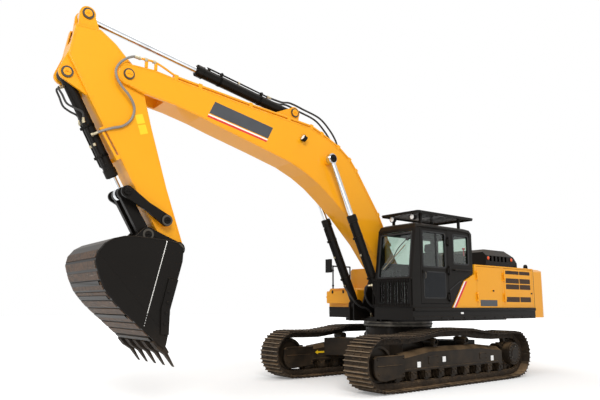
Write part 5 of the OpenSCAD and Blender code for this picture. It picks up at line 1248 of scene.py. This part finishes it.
lens_rings, lenses = [], []
for y in (cab_inner + LAMP_INSET, cab_side - LAMP_INSET):
    face = Vector((high["cab_lamps"].x, y, low["cab_lamps"].z + LAMP_RADIUS))
    lens_rings.append(turned(face, (1, 0, 0), LENS_RIM, 40))
    lenses.append(turned(face, (1, 0, 0), LENS, 40))
piece("cab_lamp_rims", "upperstructure", black, lens_rings)
piece("cab_lamp_lenses", "upperstructure", lamp_glass, lenses)
boom_along = (nose - foot).normalized()
lamp_middle = (low["boom_lamp"] + high["boom_lamp"]) / 2
bowl = Vector((lamp_middle.x, high["boom_lamp"].y - LAMP_RADIUS, lamp_middle.z)) + boom_along * BOWL_DEPTH
piece("boom_lamp_rim", "boom", black, [turned(bowl, boom_along, LENS_RIM, 40)])
piece("boom_lamp_lens", "boom", lamp_glass, [turned(bowl, boom_along, LENS, 40)])
print("three work lamps")

# %% [markdown]
# ## Seat and controls
# The CAD solid only holds the seat's place. A real one has a crowned cushion, a back with side bolsters
# and a head rest, all foam under woven cloth. Each is a rounded block whose faces swell, which needs no
# simulation because the foam is held tight by its cover.

# %% Seat cushions
CORNER = 0.32
BACK_LEAN = math.radians(-102)
BELLOWS = (
    (0.002, 0.17), (0.05, 0.16), (0.07, 0.13), (0.11, 0.16), (0.13, 0.16),
    (0.15, 0.13), (0.19, 0.16), (0.21, 0.16), (0.23, 0.13), (0.262, 0.16),
)


def cushion(name, middle, halves, lean, crown):
    """A rounded block that swells by crown on its wide faces; lean turns it about Y. Returns the mesh."""
    points, faces = [], []
    rows, columns = 20, 36
    turn = Matrix.Rotation(lean, 3, "Y")
    for i in range(rows + 1):
        u = -math.pi / 2 + math.pi * i / rows
        for k in range(columns):
            v = TURN * k / columns
            cu, su, cv, sv = math.cos(u), math.sin(u), math.cos(v), math.sin(v)
            soft = [math.copysign(abs(c) ** CORNER, c) for c in (cu, su, cv, sv)]
            x, y, z = halves[0] * soft[0] * soft[2], halves[1] * soft[0] * soft[3], halves[2] * soft[1]
            swell = crown * max(0.0, 1 - (x / halves[0]) ** 2) * max(0.0, 1 - (y / halves[1]) ** 2)
            points.append(Vector(middle) + turn @ Vector((x, y, z + math.copysign(swell, z))))
    for i in range(rows):
        for k in range(columns):
            j = (k + 1) % columns
            faces.append((i * columns + k, i * columns + j, (i + 1) * columns + j, (i + 1) * columns + k))
    made = piece(name, "upperstructure", finishes["seat_cloth"], [(points, faces)], 80)
    return made


seat_low, seat_high = low["seat"], high["seat"]
seat_y = (seat_low.y + seat_high.y) / 2
seat_top = seat_low.z + 0.430
base = cushion("seat_cushion", (0.43, seat_y, seat_top - 0.055), (0.235, 0.245, 0.060), 0.04, 0.022)
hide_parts("seat")
cushion("seat_back", (0.155, seat_y, seat_top + 0.33), (0.31, 0.235, 0.055), BACK_LEAN, 0.020)
cushion("head_rest", (0.075, seat_y, seat_top + 0.72), (0.085, 0.13, 0.045), BACK_LEAN, 0.014)
for side, name in ((1, "left"), (-1, "right")):
    middle = (0.185, seat_y + side * 0.205, seat_top + 0.27)
    cushion("bolster_" + name, middle, (0.22, 0.038, 0.045), BACK_LEAN, 0.010)
pan = plate(rounded(0.44, 0.40, 0.03), facing_z((0.42, seat_y, seat_low.z), 1), 0.26, 0.325, 0.008)
folds = []
for z, half in BELLOWS:
    folds.append([Vector((0.42 + x * half, seat_y + y * half, seat_low.z + z)) for x, y in corners])
piece("seat_base", "upperstructure", finishes["moulded_plastic"], [pan, loft(folds)])
print("seat replaced by five cushions on a bellows")

# %% Levers and pedals
CONSOLE_OFF, CONSOLE_TOP = 0.334, low["console"].z + 0.55
STICK_X, ARM_REST_X = 0.674, 0.36
BOOT = [(0.055, -0.002), (0.050, 0.015), (0.042, 0.02), (0.046, 0.03), (0.034, 0.04), (0.036, 0.05),
        (0.022, 0.06)]
LEVER_OFFS, LEVER_HEAD = (0.06, 0.14), (0.97, 2.02)
LEVER_LINE = ((0.98, 1.53), (1.0, 1.70), LEVER_HEAD)
LEVER_GRIP = [(0.018, -0.06), (0.022, -0.02), (0.022, 0.02), (0.012, 0.035)]
PEDAL_PLACE, PEDAL_OFF, PEDAL_RUN, PEDAL_RISE = (1.02, 1.56), 0.10, 0.8, 0.35


def on_pedal(side):
    """Places on a slanted pedal: along it, across it and up."""
    (x, z), y = PEDAL_PLACE, seat_y + side * PEDAL_OFF
    return lambda u, v, depth: Vector((x + u * PEDAL_RUN, y + v, z + u * PEDAL_RISE + depth))


levers, boots = [], []
for side in (1, -1):
    y = seat_y + side * CONSOLE_OFF
    boots.append(turned((STICK_X, y, CONSOLE_TOP), (0, 0, 1), BOOT, 24))
    boots.append(plate(rounded(0.26, 0.085, 0.03), facing_z((ARM_REST_X, y, CONSOLE_TOP), 1), -0.002,
                       0.035, 0.012))
    for off in LEVER_OFFS:
        y = seat_y + side * off
        levers.append(swept(smooth([(x, y, z) for x, z in LEVER_LINE], 5), 0.010))
        levers.append(turned((LEVER_HEAD[0], y, LEVER_HEAD[1]), (0, 0, 1), LEVER_GRIP, 20))
    levers.append(plate(rounded(0.22, 0.11, 0.01), on_pedal(side), 0.0, 0.012, 0.003))
piece("travel_levers", "upperstructure", finishes["moulded_plastic"], levers)
piece("console_pads", "upperstructure", finishes["moulded_plastic"], boots)
print("four levers, two pedals, two consoles")

# %% Display, mat and hammer
DISPLAY, DISPLAY_DEPTH = (0.98, 0.66, 2.12), 0.035
STALK = ((0.99, 0.66, 1.60), (1.0, 0.66, 1.85), (0.985, 0.66, 2.08))
CAB_FLOOR = 1.5235
HAMMER_X, HAMMER_Y, HAMMER_Z = -0.47, 1.425, (2.52, 2.66, 2.665)
HAMMER_HEAD = [(0.008, -0.045), (0.02, -0.03), (0.02, 0.03), (0.008, 0.045)]

screen_case = plate(rounded(0.22, 0.16, 0.02), facing_x(DISPLAY, -1), 0.0, DISPLAY_DEPTH, 0.006)
stalk = swept(smooth(STALK, 5), 0.014)
piece("display", "upperstructure", finishes["moulded_plastic"], [screen_case, stalk])
glass = plate(rounded(0.19, 0.13, 0.012), facing_x(DISPLAY, -1), DISPLAY_DEPTH - 0.001,
              DISPLAY_DEPTH + 0.002, 0.001)
piece("display_glass", "upperstructure", screen_face, [glass])
mat = plate(rounded(0.70, 0.66, 0.05), facing_z((0.76, seat_y, CAB_FLOOR), 1), 0.0, 0.010, 0.003)
piece("floor_mat", "upperstructure", gasket, [mat])
shaft = swept([(HAMMER_X, HAMMER_Y, z) for z in HAMMER_Z[:2]], 0.012)
hammer_head = turned((HAMMER_X, HAMMER_Y, HAMMER_Z[2]), (1, 0, 0), HAMMER_HEAD, 16)
piece("window_hammer", "upperstructure", red_film, [shaft, hammer_head])
print("display, mat and hammer")

# %% [markdown]
# ## Boom and arm
# Both are boxes of welded plate. Their side plates end in a bead of weld all round, so the outline of
# each packed side is read from its mesh, moved in a little, and a thin round bar is laid along it. A
# plain dark band of film with two lines runs along the boom, and blank labels sit on the arm.

# %% Weld beads
BEAD = 0.006


def rim(node, y):
    """The longest closed outline of a solid's flat face at y, as (x, z) points in order."""
    mesh = nodes[node].data
    sides = {}
    for face in mesh.polygons:
        if abs(face.normal.y) > 0.99 and abs(face.center.y - y) < 0.0006:
            spots = [tuple(round(c, 4) for c in mesh.vertices[v].co) for v in face.vertices]
            for a, b in zip(spots, spots[1:] + spots[:1]):
                sides.setdefault(frozenset((a, b)), []).append((a, b))
    follow = {pair[0][0]: pair[0][1] for pair in sides.values() if len(pair) == 1}
    loops = []
    while follow:
        start, spot = follow.popitem()
        loop = [start]
        while spot in follow:
            loop.append(spot)
            spot = follow.pop(spot)
        loops.append([(p[0], p[2]) for p in loop])
    return max(loops, key=lambda loop: sum(math.dist(a, b) for a, b in zip(loop, loop[1:] + loop[:1])))


def bead(node, y, depth, radius=BEAD):
    """A bead of weld along the outline of a flat side."""
    line = inset(rim(node, y), depth)
    return swept([(x, y, z) for x, z in line + line[:1]], radius, 8)


boom_side, arm_side = 0.255, 0.195
piece("boom_welds", "boom", yellow, [bead("boom", side * boom_side, 0.022) for side in (1, -1)])
piece("arm_welds", "arm", yellow, [bead("arm", side * arm_side, 0.020) for side in (1, -1)])
print("beads on boom and arm")

# %% Band and labels
BAND = (4.00, 5.20)
BAND_HALF = 0.125
BAND_RISE, BAND_SLOPE = 0.785, -0.275
WHITE_LINE, RED_LINE = (0.042, 0.018), (0.082, 0.048)
LABEL_SIZE, LABEL_WAYS = (0.13, 0.15, 0.008), (0.71, 0.88)


def band_line(x, rise):
    """A place on the boom's side; x is the way along it, and rise the height over the band's middle line."""
    return on_boom(x, 0, BAND_RISE + BAND_SLOPE * (x - BAND[0]) + rise)


def band(bottom, top):
    """A strip of film along the boom, on both sides."""
    outline = [(BAND[0], bottom), (BAND[1], bottom), (BAND[1], top), (BAND[0], top)]
    films = []
    for side in (1, -1):
        place = lambda u, v, d: band_line(u, v) + Vector((0, side * (boom_side + d), 0))
        films.append(plate(outline, place, -0.001, 0.0012, 0.0003))
    return films


piece("boom_band", "boom", band_film, band(-BAND_HALF, BAND_HALF))
piece("boom_band_white", "boom", white_film, band(-BAND_HALF - WHITE_LINE[0], -BAND_HALF - WHITE_LINE[1]))
piece("boom_band_red", "boom", red_film, band(-BAND_HALF - RED_LINE[0], -BAND_HALF - RED_LINE[1]))
labels = []
for side in (1, -1):
    for way in LABEL_WAYS:
        place = lambda u, v, d: on_arm(way + v, side * (arm_side + d), u)
        labels.append(plate(rounded(*LABEL_SIZE), place, *FILM_LAYERS))
piece("arm_labels", "arm", label_film, labels)
print("a band and", len(labels), "blank labels")

# %% [markdown]
# ## Pins
# Every joint of the front turns on a hardened pin. Each end has a cap that two bolts hold, with a grease
# point in its middle, and one function dresses the end of any pin.

# %% Pin ends
LIFT_PIN = Vector((2.2307, 0, 4.3399))
CROWD_PIN = Vector((6.9510, 0, 5.9085))
KNEE_PIN = Vector((6.2298, 0, 3.1927))
FOOT_FACE, NOSE_FACE, EAR_FACE = 0.346, 0.277, 0.170
LINK_FACE, TIP_FACE, LIFT_BASE_FACE, LIFT_EYE_FACE = 0.330, 0.259, 0.504, 0.462
CAP_HEIGHT = 0.010
GREASE_POINT = [(0.008, 0.0), (0.008, 0.010), (0.004, 0.014), (0.005, 0.020)]


def pin_end(place, face, side, radius, key):
    """Cap, keeper bolts and grease point on a pin's end."""
    spot = Vector((place.x, side * face, place.z))
    out = Vector((0, side, 0))
    rim_line = [(radius, -0.002), (radius, 0.005), (radius - 0.005, CAP_HEIGHT)]
    shapes = [turned(spot, out, rim_line + [(0.014, CAP_HEIGHT), (0.012, 0.005)], 40)]
    for x in (-0.5, 0.5):
        shapes += bolt(spot + out * CAP_HEIGHT + Vector((x * radius, 0, 0)), out, key)
    shapes.append(turned(spot + out * 0.006, out, GREASE_POINT, 12))
    return shapes


def dress_pins(name, body, finish, pins, radius, key=0.020):
    """Dresses both ends of the pins that one body carries."""
    shapes = [s for place, face in pins for side in (1, -1)
              for s in pin_end(place, face, side, radius, key)]
    return piece(name, body, finish, shapes)


guide_pin, link_pin = pivot["guide_swing"], pivot["link_swing"]
curl_base, crowd_base, lift_base = pivot["curl_tilt"], pivot["crowd_tilt"], pivot["lift_tilt"]
dress_pins("boom_pin_ends", "boom", yellow, [(nose, NOSE_FACE), (crowd_base, EAR_FACE)], 0.066)
dress_pins("arm_pin_ends", "arm", yellow, [(CROWD_PIN, EAR_FACE), (curl_base, EAR_FACE)], 0.060)
dress_pins("guide_pin_ends", "guide_links", black, [(KNEE_PIN, LINK_FACE), (guide_pin, LINK_FACE)], 0.058)
dress_pins("bucket_pin_ends", "bucket", black, [(tip, TIP_FACE), (link_pin, TIP_FACE)], 0.058)
dress_pins("foot_pin_ends", "upperstructure", black, [(foot, FOOT_FACE), (lift_base, LIFT_BASE_FACE)],
           0.064)
dress_pins("lift_eye_caps", "lift_rods", black, [(LIFT_PIN, LIFT_EYE_FACE)], 0.080)
print("pins capped")

# %% [markdown]
# ## Cylinders
# A cylinder's head is bolted on with a ring of bolts, and a wiper keeps dirt off the rod. A steel pipe
# runs along the barrel to the head, held by two bands, and ends in hexagon couplings plated with zinc.

# %% Barrels and couplings


def nut(place, axis, key, length):
    """A hexagon coupling along a pipe."""
    place, axis = Vector(place), Vector(axis).normalized()
    ways = [(0.46, 0.0), (0.575, 0.06), (0.575, 0.94), (0.46, 1.0)]
    return loft([ring(place + axis * length * w, axis, key * r, 6) for r, w in ways])


class Barrel:
    """A cylinder's barrel, with places given along it and round it."""

    def __init__(self, body, base, end, y, radius, length, rod):
        self.body, self.y, self.radius, self.length, self.rod = body, y, radius, length, rod
        self.on = leaning(Vector((base.x, 0, base.z)), angle_between(base, end))
        self.along = (self.on(1, 0, 0) - self.on(0, 0, 0)).normalized()
        self.rise = self.on(0, 0, 1) - self.on(0, 0, 0)

    def out(self, turn):
        """The direction away from the barrel; turn goes round it from the top."""
        return self.rise * math.cos(turn) + Vector((0, math.sin(turn), 0))

    def spot(self, x, turn, far):
        """A place beside the barrel, at a distance from its skin."""
        return self.on(x, self.y, 0) + self.out(turn) * (self.radius + far)


print("a class for barrels")

# %% Heads, bands and feed pipes
PIPE, PIPE_GAP = 0.015, 0.026
HEAD_LENGTH, WIPER_BORE = 0.118, 0.002
BAND_WAYS, BLOCK_TOP = (0.12, 0.80), 0.054
PORT = [(0.030, 0.0), (0.030, 0.014), (0.022, 0.018)]


def dress_head(name, barrel):
    """Bolts, wiper and collar on a cylinder's head."""
    end, rod, radius = barrel.on(barrel.length, barrel.y, 0), barrel.rod, barrel.radius
    back = barrel.on(barrel.length - HEAD_LENGTH, barrel.y, 0)
    bore = rod + WIPER_BORE
    lips = [(rod + 0.022, -0.002), (rod + 0.020, 0.014), (rod + 0.006, 0.022), (bore, 0.018),
            (bore, -0.002)]
    step = [(radius, -0.006), (radius + 0.016, -0.004), (radius + 0.016, 0.004), (radius, 0.006)]
    shapes = bolt_circle(end, barrel.along, radius - 0.004, 12, 0.018)
    shapes += [hooped(end, barrel.along, lips), hooped(back, barrel.along, step)]
    piece(name + "_head", barrel.body, black, shapes)


def feed_pipe(name, barrel, turn, start, stop):
    """A steel pipe along a barrel with bands and couplings; returns the place where its hose meets it."""
    out, along, radius = barrel.out(turn), barrel.along, barrel.radius
    side = along.cross(out)
    hoop = [(radius, -0.022), (radius + 0.006, -0.020), (radius + 0.006, 0.020), (radius, 0.022)]
    bands = []
    for share in BAND_WAYS:
        x = start + (stop - start) * share
        bands.append(hooped(barrel.on(x, barrel.y, 0), along, hoop))
        block = rounded(0.044, 0.060, 0.008)
        bands.append(plate(block, lambda u, v, d: barrel.spot(x + u, turn, d) + side * v, 0.0, BLOCK_TOP,
                           0.004))
        bands += bolt(barrel.spot(x, turn, BLOCK_TOP), out, 0.016)
    ways = [(start, PIPE_GAP), (stop - 0.06, PIPE_GAP), (stop - 0.015, PIPE_GAP - 0.004), (stop, 0.006)]
    line = [barrel.spot(x, turn, far) for x, far in ways]
    port = turned(barrel.spot(stop, turn, -0.001), out, PORT, 20)
    piece(name + "_pipe", barrel.body, black, bands + [swept(smooth(line, 5), PIPE, 14), port])
    middle = barrel.spot((start + stop) / 2, turn, PIPE_GAP)
    couplings = [nut(line[0] - along * 0.02, along, 0.042, 0.050), nut(middle, along, 0.040, 0.045)]
    piece(name + "_couplings", barrel.body, zinc, couplings)
    return line[0]


print("functions for heads and feed pipes")

# %% Four cylinders
LIFT_OFFSET = 0.395
LIFT_SIZES, CROWD_SIZES, CURL_SIZES = (0.086, 1.950, 0.052), (0.096, 2.090, 0.056), (0.086, 1.660, 0.050)
CROWD_TURN, CURL_TURN = math.radians(30), math.radians(52)
lifts = {}
for side in (1, -1):
    lifts[side] = Barrel("lift_barrels", lift_base, LIFT_PIN, side * LIFT_OFFSET, *LIFT_SIZES)
crowd = Barrel("crowd_barrel_tube", crowd_base, CROWD_PIN, 0.0, *CROWD_SIZES)
curl = Barrel("curl_barrel_tube", curl_base, KNEE_PIN, 0.0, *CURL_SIZES)
SIDES = {1: "left", -1: "right"}
lift_ports, crowd_ports, curl_ports = {}, {}, {}
dress_head("crowd", crowd)
dress_head("curl", curl)
for side, name in SIDES.items():
    dress_head("lift_" + name, lifts[side])
    lift_ports[side] = feed_pipe("lift_" + name, lifts[side], math.pi, 0.50, 1.76)
    crowd_ports[side] = feed_pipe("crowd_" + name, crowd, side * CROWD_TURN, 0.60, 1.88)
    curl_ports[side] = feed_pipe("curl_" + name, curl, side * CURL_TURN, 0.74, 1.46)
print("four cylinders dressed")

# %% [markdown]
# ## Hoses
# Where two parts turn against each other, oil crosses in hoses of rubber over steel braid. The line of
# each runs through given points. A hose that crosses a joint stays where it is, while the fitting at each
# end rides on its own body.

# %% Routes of the hoses
NOSE_ROUTE = [
    (6.160, 0.268, 5.366), (6.265, 0.288, 5.354), (6.416, 0.292, 5.249), (6.511, 0.292, 5.099),
    (6.504, 0.292, 4.960), (6.412, 0.290, 4.823), (6.305, 0.285, 4.724), (6.213, 0.270, 4.603),
    (6.180, 0.250, 4.487), (6.218, 0.232, 4.338), (6.331, 0.224, 4.219), (6.496, 0.222, 4.152),
    (6.655, 0.180, 4.080), (6.735, 0.112, 4.035),
]
CROWD_ROUTE = [
    (1.760, 0.075, 4.530), (1.790, 0.075, 4.700), (1.840, 0.075, 4.860), (2.010, 0.075, 5.060),
    (2.280, 0.075, 5.250), (2.720, 0.075, 5.345), (2.900, 0.070, 5.385), (3.050, 0.066, 5.400),
    (3.200, 0.062, 5.375), (3.380, 0.060, 5.385),
]
CURL_ROUTE = [
    (7.215, 0.030, 4.700), (7.270, 0.050, 4.660), (7.215, 0.075, 4.560), (7.150, 0.090, 4.440),
    (7.045, 0.110, 4.386), (6.920, 0.118, 4.340),
]
FOOT_ROUTE = [
    (0.620, 0.180, 1.285), (0.650, 0.180, 1.370), (0.760, 0.180, 1.435), (0.900, 0.182, 1.465),
    (1.030, 0.187, 1.530), (1.140, 0.205, 1.640), (1.220, 0.250, 1.770), (1.250, 0.320, 1.880),
]
PIPE_ROUTE = [
    (5.480, 0.231, 5.236), (5.600, 0.233, 5.285), (5.750, 0.237, 5.345), (5.890, 0.242, 5.384),
    (6.040, 0.252, 5.378), (6.170, 0.269, 5.366),
]
print(sum(map(len, (NOSE_ROUTE, CROWD_ROUTE, CURL_ROUTE, FOOT_ROUTE))),
      "points for the hoses of one side")

# %% Hoses across the joints
PIPE_FEET, FOOT_Y, FOOT_LOW, FOOT_HEIGHT = (5.86, 6.02), 0.235, 5.25, 0.125
PIPE_NUTS = ((5.865, 0.241, 5.380), (6.010, 0.250, 5.380))


def mirrored(route, side):
    """A route on the left, or its mirror image on the right."""
    return [(x, side * y, z) for x, y, z in route]


def hose(name, bodies, finish, route, radius, fittings):
    """A hose with a fitting of zinc on each end; between two bodies it stays where it is and each fitting rides on
    its own body, else it rides on its one body.
    """
    line = smooth(route, 5)
    made = piece(name, bodies[0] if len(bodies) == 1 else None, finish, [swept(line, radius, 14)])
    length = sum((b - a).length for a, b in zip(line, line[1:]))
    if len(bodies) == 2:
        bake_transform(made)
    sleeve_line = [(radius + 0.004, 0.0), (radius + 0.004, fittings), (radius + 0.001, fittings + 0.004)]
    for body, start, inward, end in ((bodies[0], line[0], line[1], "_start"),
                                     (bodies[-1], line[-1], line[-2], "_end")):
        ahead = (inward - start).normalized()
        sleeve = turned(start, ahead, sleeve_line, 20)
        piece(name + end, body, zinc, [sleeve, nut(start - ahead * 0.03, ahead, radius * 2.6, 0.032)])
    return length


for side, name in SIDES.items():
    nose_line = mirrored(NOSE_ROUTE, side)
    crowd_line = mirrored(CROWD_ROUTE, side) + [crowd_ports[side]]
    curl_line = mirrored(CURL_ROUTE, side) + [curl_ports[side]]
    foot_line = mirrored(FOOT_ROUTE, side) + [lift_ports[side]]
    lengths = [
        hose("nose_hose_" + name, ("boom", "arm"), braid, nose_line, 0.020, 0.075),
        hose("crowd_hose_" + name, ("boom", "crowd_barrel_tube"), rubber, crowd_line, 0.019, 0.06),
        hose("curl_hose_" + name, ("curl_barrel_tube",), rubber, curl_line, 0.016, 0.05),
        hose("foot_hose_" + name, ("upperstructure", "lift_barrels"), rubber, foot_line, 0.019, 0.06),
    ]
    shapes = [swept(smooth(mirrored(PIPE_ROUTE, side), 5), 0.018, 14)]
    for x in PIPE_FEET:
        place = lambda u, v, d: Vector((x + u, side * (FOOT_Y + v), FOOT_LOW + d))
        shapes.append(plate(rounded(0.05, 0.03, 0.006), place, 0.0, FOOT_HEIGHT, 0.004))
    piece("nose_pipe_" + name, "boom", yellow, shapes)
    ends = [nut(place, (1, 0, 0), 0.052, 0.055) for place in mirrored(PIPE_NUTS, side)]
    piece("nose_couplings_" + name, "boom", zinc, ends)
    print(name, "hoses", [round(length, 2) for length in lengths], "m")

# %% [markdown]
# ## Bucket
# A bucket wears out from below, so strips of hard plate are welded across its back, thicker plates line
# the lower half of its sides, and bolted cutters guard its front edges. One bright bead shows where the
# side plate was welded on last.

# %% Wear strips
BUCKET_SIDE = 0.720
CREASE = ((6.776, 2.242), (6.079, 1.476))
SEAM = ((5.742, 2.440), (6.040, 1.190))
CUTTER = ((5.686, 1.760), (5.742, 1.150))
STRIP, STRIP_GAP, STRIP_THICK, STRIP_SUNK = 0.115, 0.040, 0.010, 0.004
STRIP_START, STRIP_STOP, STRIP_HALF = 0.30, 1.95, BUCKET_SIDE - 0.03
BACK_FRONT = 5.70
LINER_INSET, CUTTER_COUNT, CUTTER_KEY = 0.012, 4, 0.034
BUCKET_MIDDLE = Vector((5.9, 1.9))
CUTTER_FACE = 0.746
SEAM_RIPPLES = 70


def clip(outline, a, b):
    """The part of an outline that lies to the left of the line from a to b."""
    def away(p):
        """Positive to the left of the line."""
        return (b[0] - a[0]) * (p[1] - a[1]) - (b[1] - a[1]) * (p[0] - a[0])

    kept = []
    for p, q in zip(outline, outline[1:] + outline[:1]):
        if away(p) >= 0:
            kept.append(p)
        if away(p) * away(q) < 0:
            t = away(p) / (away(p) - away(q))
            kept.append((p[0] + (q[0] - p[0]) * t, p[1] + (q[1] - p[1]) * t))
    return kept


def walk(line, way):
    """The place and direction at a way along a line of points."""
    for a, b in zip(line, line[1:]):
        step = math.dist(a, b)
        if way <= step:
            ahead = Vector((b[0] - a[0], b[1] - a[1])) / step
            return Vector(a) + ahead * way, ahead
        way -= step
    return Vector(line[-1]), ahead


outline = rim("bucket", BUCKET_SIDE)
lip = min(range(len(outline)), key=lambda i: outline[i][1])
turned_out = outline[lip:] + outline[:lip]
if turned_out[1][0] < turned_out[-1][0]:
    turned_out = turned_out[:1] + turned_out[:0:-1]
back = [p for p in turned_out if p[0] > BACK_FRONT]
length = sum(math.dist(a, b) for a, b in zip(back, back[1:]))
strips, way = [], STRIP_START
while way + STRIP < STRIP_STOP:
    (start, ahead), (stop, _) = walk(back, way), walk(back, way + STRIP)
    out = Vector((ahead.y, -ahead.x))
    if out.dot(start - BUCKET_MIDDLE) < 0:
        out = -out
    inner = [start - out * STRIP_SUNK, stop - out * STRIP_SUNK]
    outer = [stop + out * STRIP_THICK, start + out * STRIP_THICK]
    section = [tuple(c) for c in inner + outer]
    strips.append(plate(section, lambda u, v, d: Vector((u, d, v)), -STRIP_HALF, STRIP_HALF, 0.003))
    way += STRIP + STRIP_GAP
# The strips' brown tone is painted reflection of the lit ground.
piece("bucket_wear_strips", "bucket", wear_plate, strips)
print(len(strips), "wear strips on a back", round(length, 2), "m long")

# %% Liners, seams and cutter bolts
liners, seams, cutter_bolts = [], [], []
for side in (1, -1):
    liner = clip(inset(outline, LINER_INSET), *CREASE)
    liners.append(plate(liner, facing_y((0, side * BUCKET_SIDE, 0), side), -0.002, 0.008, 0.003))
    a, b = Vector(SEAM[0]), Vector(SEAM[1])
    rings = []
    for i in range(SEAM_RIPPLES + 1):
        spot = a.lerp(b, i / SEAM_RIPPLES)
        radius = 0.009 if i % 2 else 0.006
        place = (spot.x, side * (BUCKET_SIDE + 0.001), spot.y)
        rings.append(ring(place, (b.x - a.x, 0, b.y - a.y), radius, 10))
    seams.append(loft(rings))
    for i in range(CUTTER_COUNT):
        spot = Vector(CUTTER[0]).lerp(Vector(CUTTER[1]), (i + 0.5) / CUTTER_COUNT)
        cutter_bolts += bolt((spot.x, side * CUTTER_FACE, spot.y), (0, side, 0), CUTTER_KEY)
piece("bucket_liners", "bucket", black, liners)
piece("bucket_seams", "bucket", bead_steel, seams)
piece("cutter_bolts", "bucket", black, cutter_bolts)
piece("bucket_welds", "bucket", black,
      [bead("bucket", side * BUCKET_SIDE, 0.014, 0.007) for side in (1, -1)])
print(len(liners), "liners,", len(cutter_bolts) // 2, "cutter bolts")

# %% [markdown]
# ## Guards of the cab
# The roof guard is a plate with folded edges that bolts hold on the cab, so that a bent one can be
# changed. The lower front window stands behind a welded grille of round bars.

# %% Folded edge and grille
FOLD_DROP, FOLD_THICK, FOLD_OUT = 0.052, 0.008, 0.012
GRILLE_Y, GRILLE_Z, GRILLE_OUT = (0.518, 1.482), (1.500, 2.005), 0.012
BAR_COUNT, BAR_RADIUS = 17, 0.009
guard_low, guard_high = low["roof_guard"], high["roof_guard"]


def folded_edge(node_low, node_high):
    """A strip that hangs down round a plate, with round corners."""
    wide, deep = node_high.x - node_low.x + FOLD_OUT, node_high.y - node_low.y + FOLD_OUT
    middle = (node_low + node_high) / 2
    outer = rounded(wide, deep, 0.05, 8)
    place = facing_z((middle.x, middle.y, node_high.z + 0.004), -1)
    return frame_shape(outer, FOLD_THICK, place, 0.0, FOLD_DROP, 0.002)


piece("roof_guard_edge", "upperstructure", black, [folded_edge(guard_low, guard_high)])
guard_bolts = []
for x in (guard_low.x + 0.10, (guard_low.x + guard_high.x) / 2, guard_high.x - 0.10):
    for y in (guard_low.y + 0.05, guard_high.y - 0.05):
        guard_bolts += bolt((x, y, guard_high.z), (0, 0, 1), 0.020)
piece("roof_guard_bolts", "upperstructure", black, guard_bolts)
grille_x = high["front_guard"].x + GRILLE_OUT
grille_wide = GRILLE_Y[1] - GRILLE_Y[0]
bars = []
for z in GRILLE_Z:
    place = facing_x((grille_x - 0.02, sum(GRILLE_Y) / 2, z), 1)
    bars.append(plate(rounded(grille_wide + 0.03, 0.034, 0.008), place, -0.016, 0.012, 0.003))
for i in range(BAR_COUNT):
    y = GRILLE_Y[0] + grille_wide * i / (BAR_COUNT - 1)
    bars.append(swept([(grille_x, y, GRILLE_Z[0] - 0.012), (grille_x, y, GRILLE_Z[1] + 0.012)],
                      BAR_RADIUS, 10))
piece("front_grille", "upperstructure", black, bars)
print("guards dressed with", len(guard_bolts) // 2, "bolts and", len(bars) - 2, "bars")
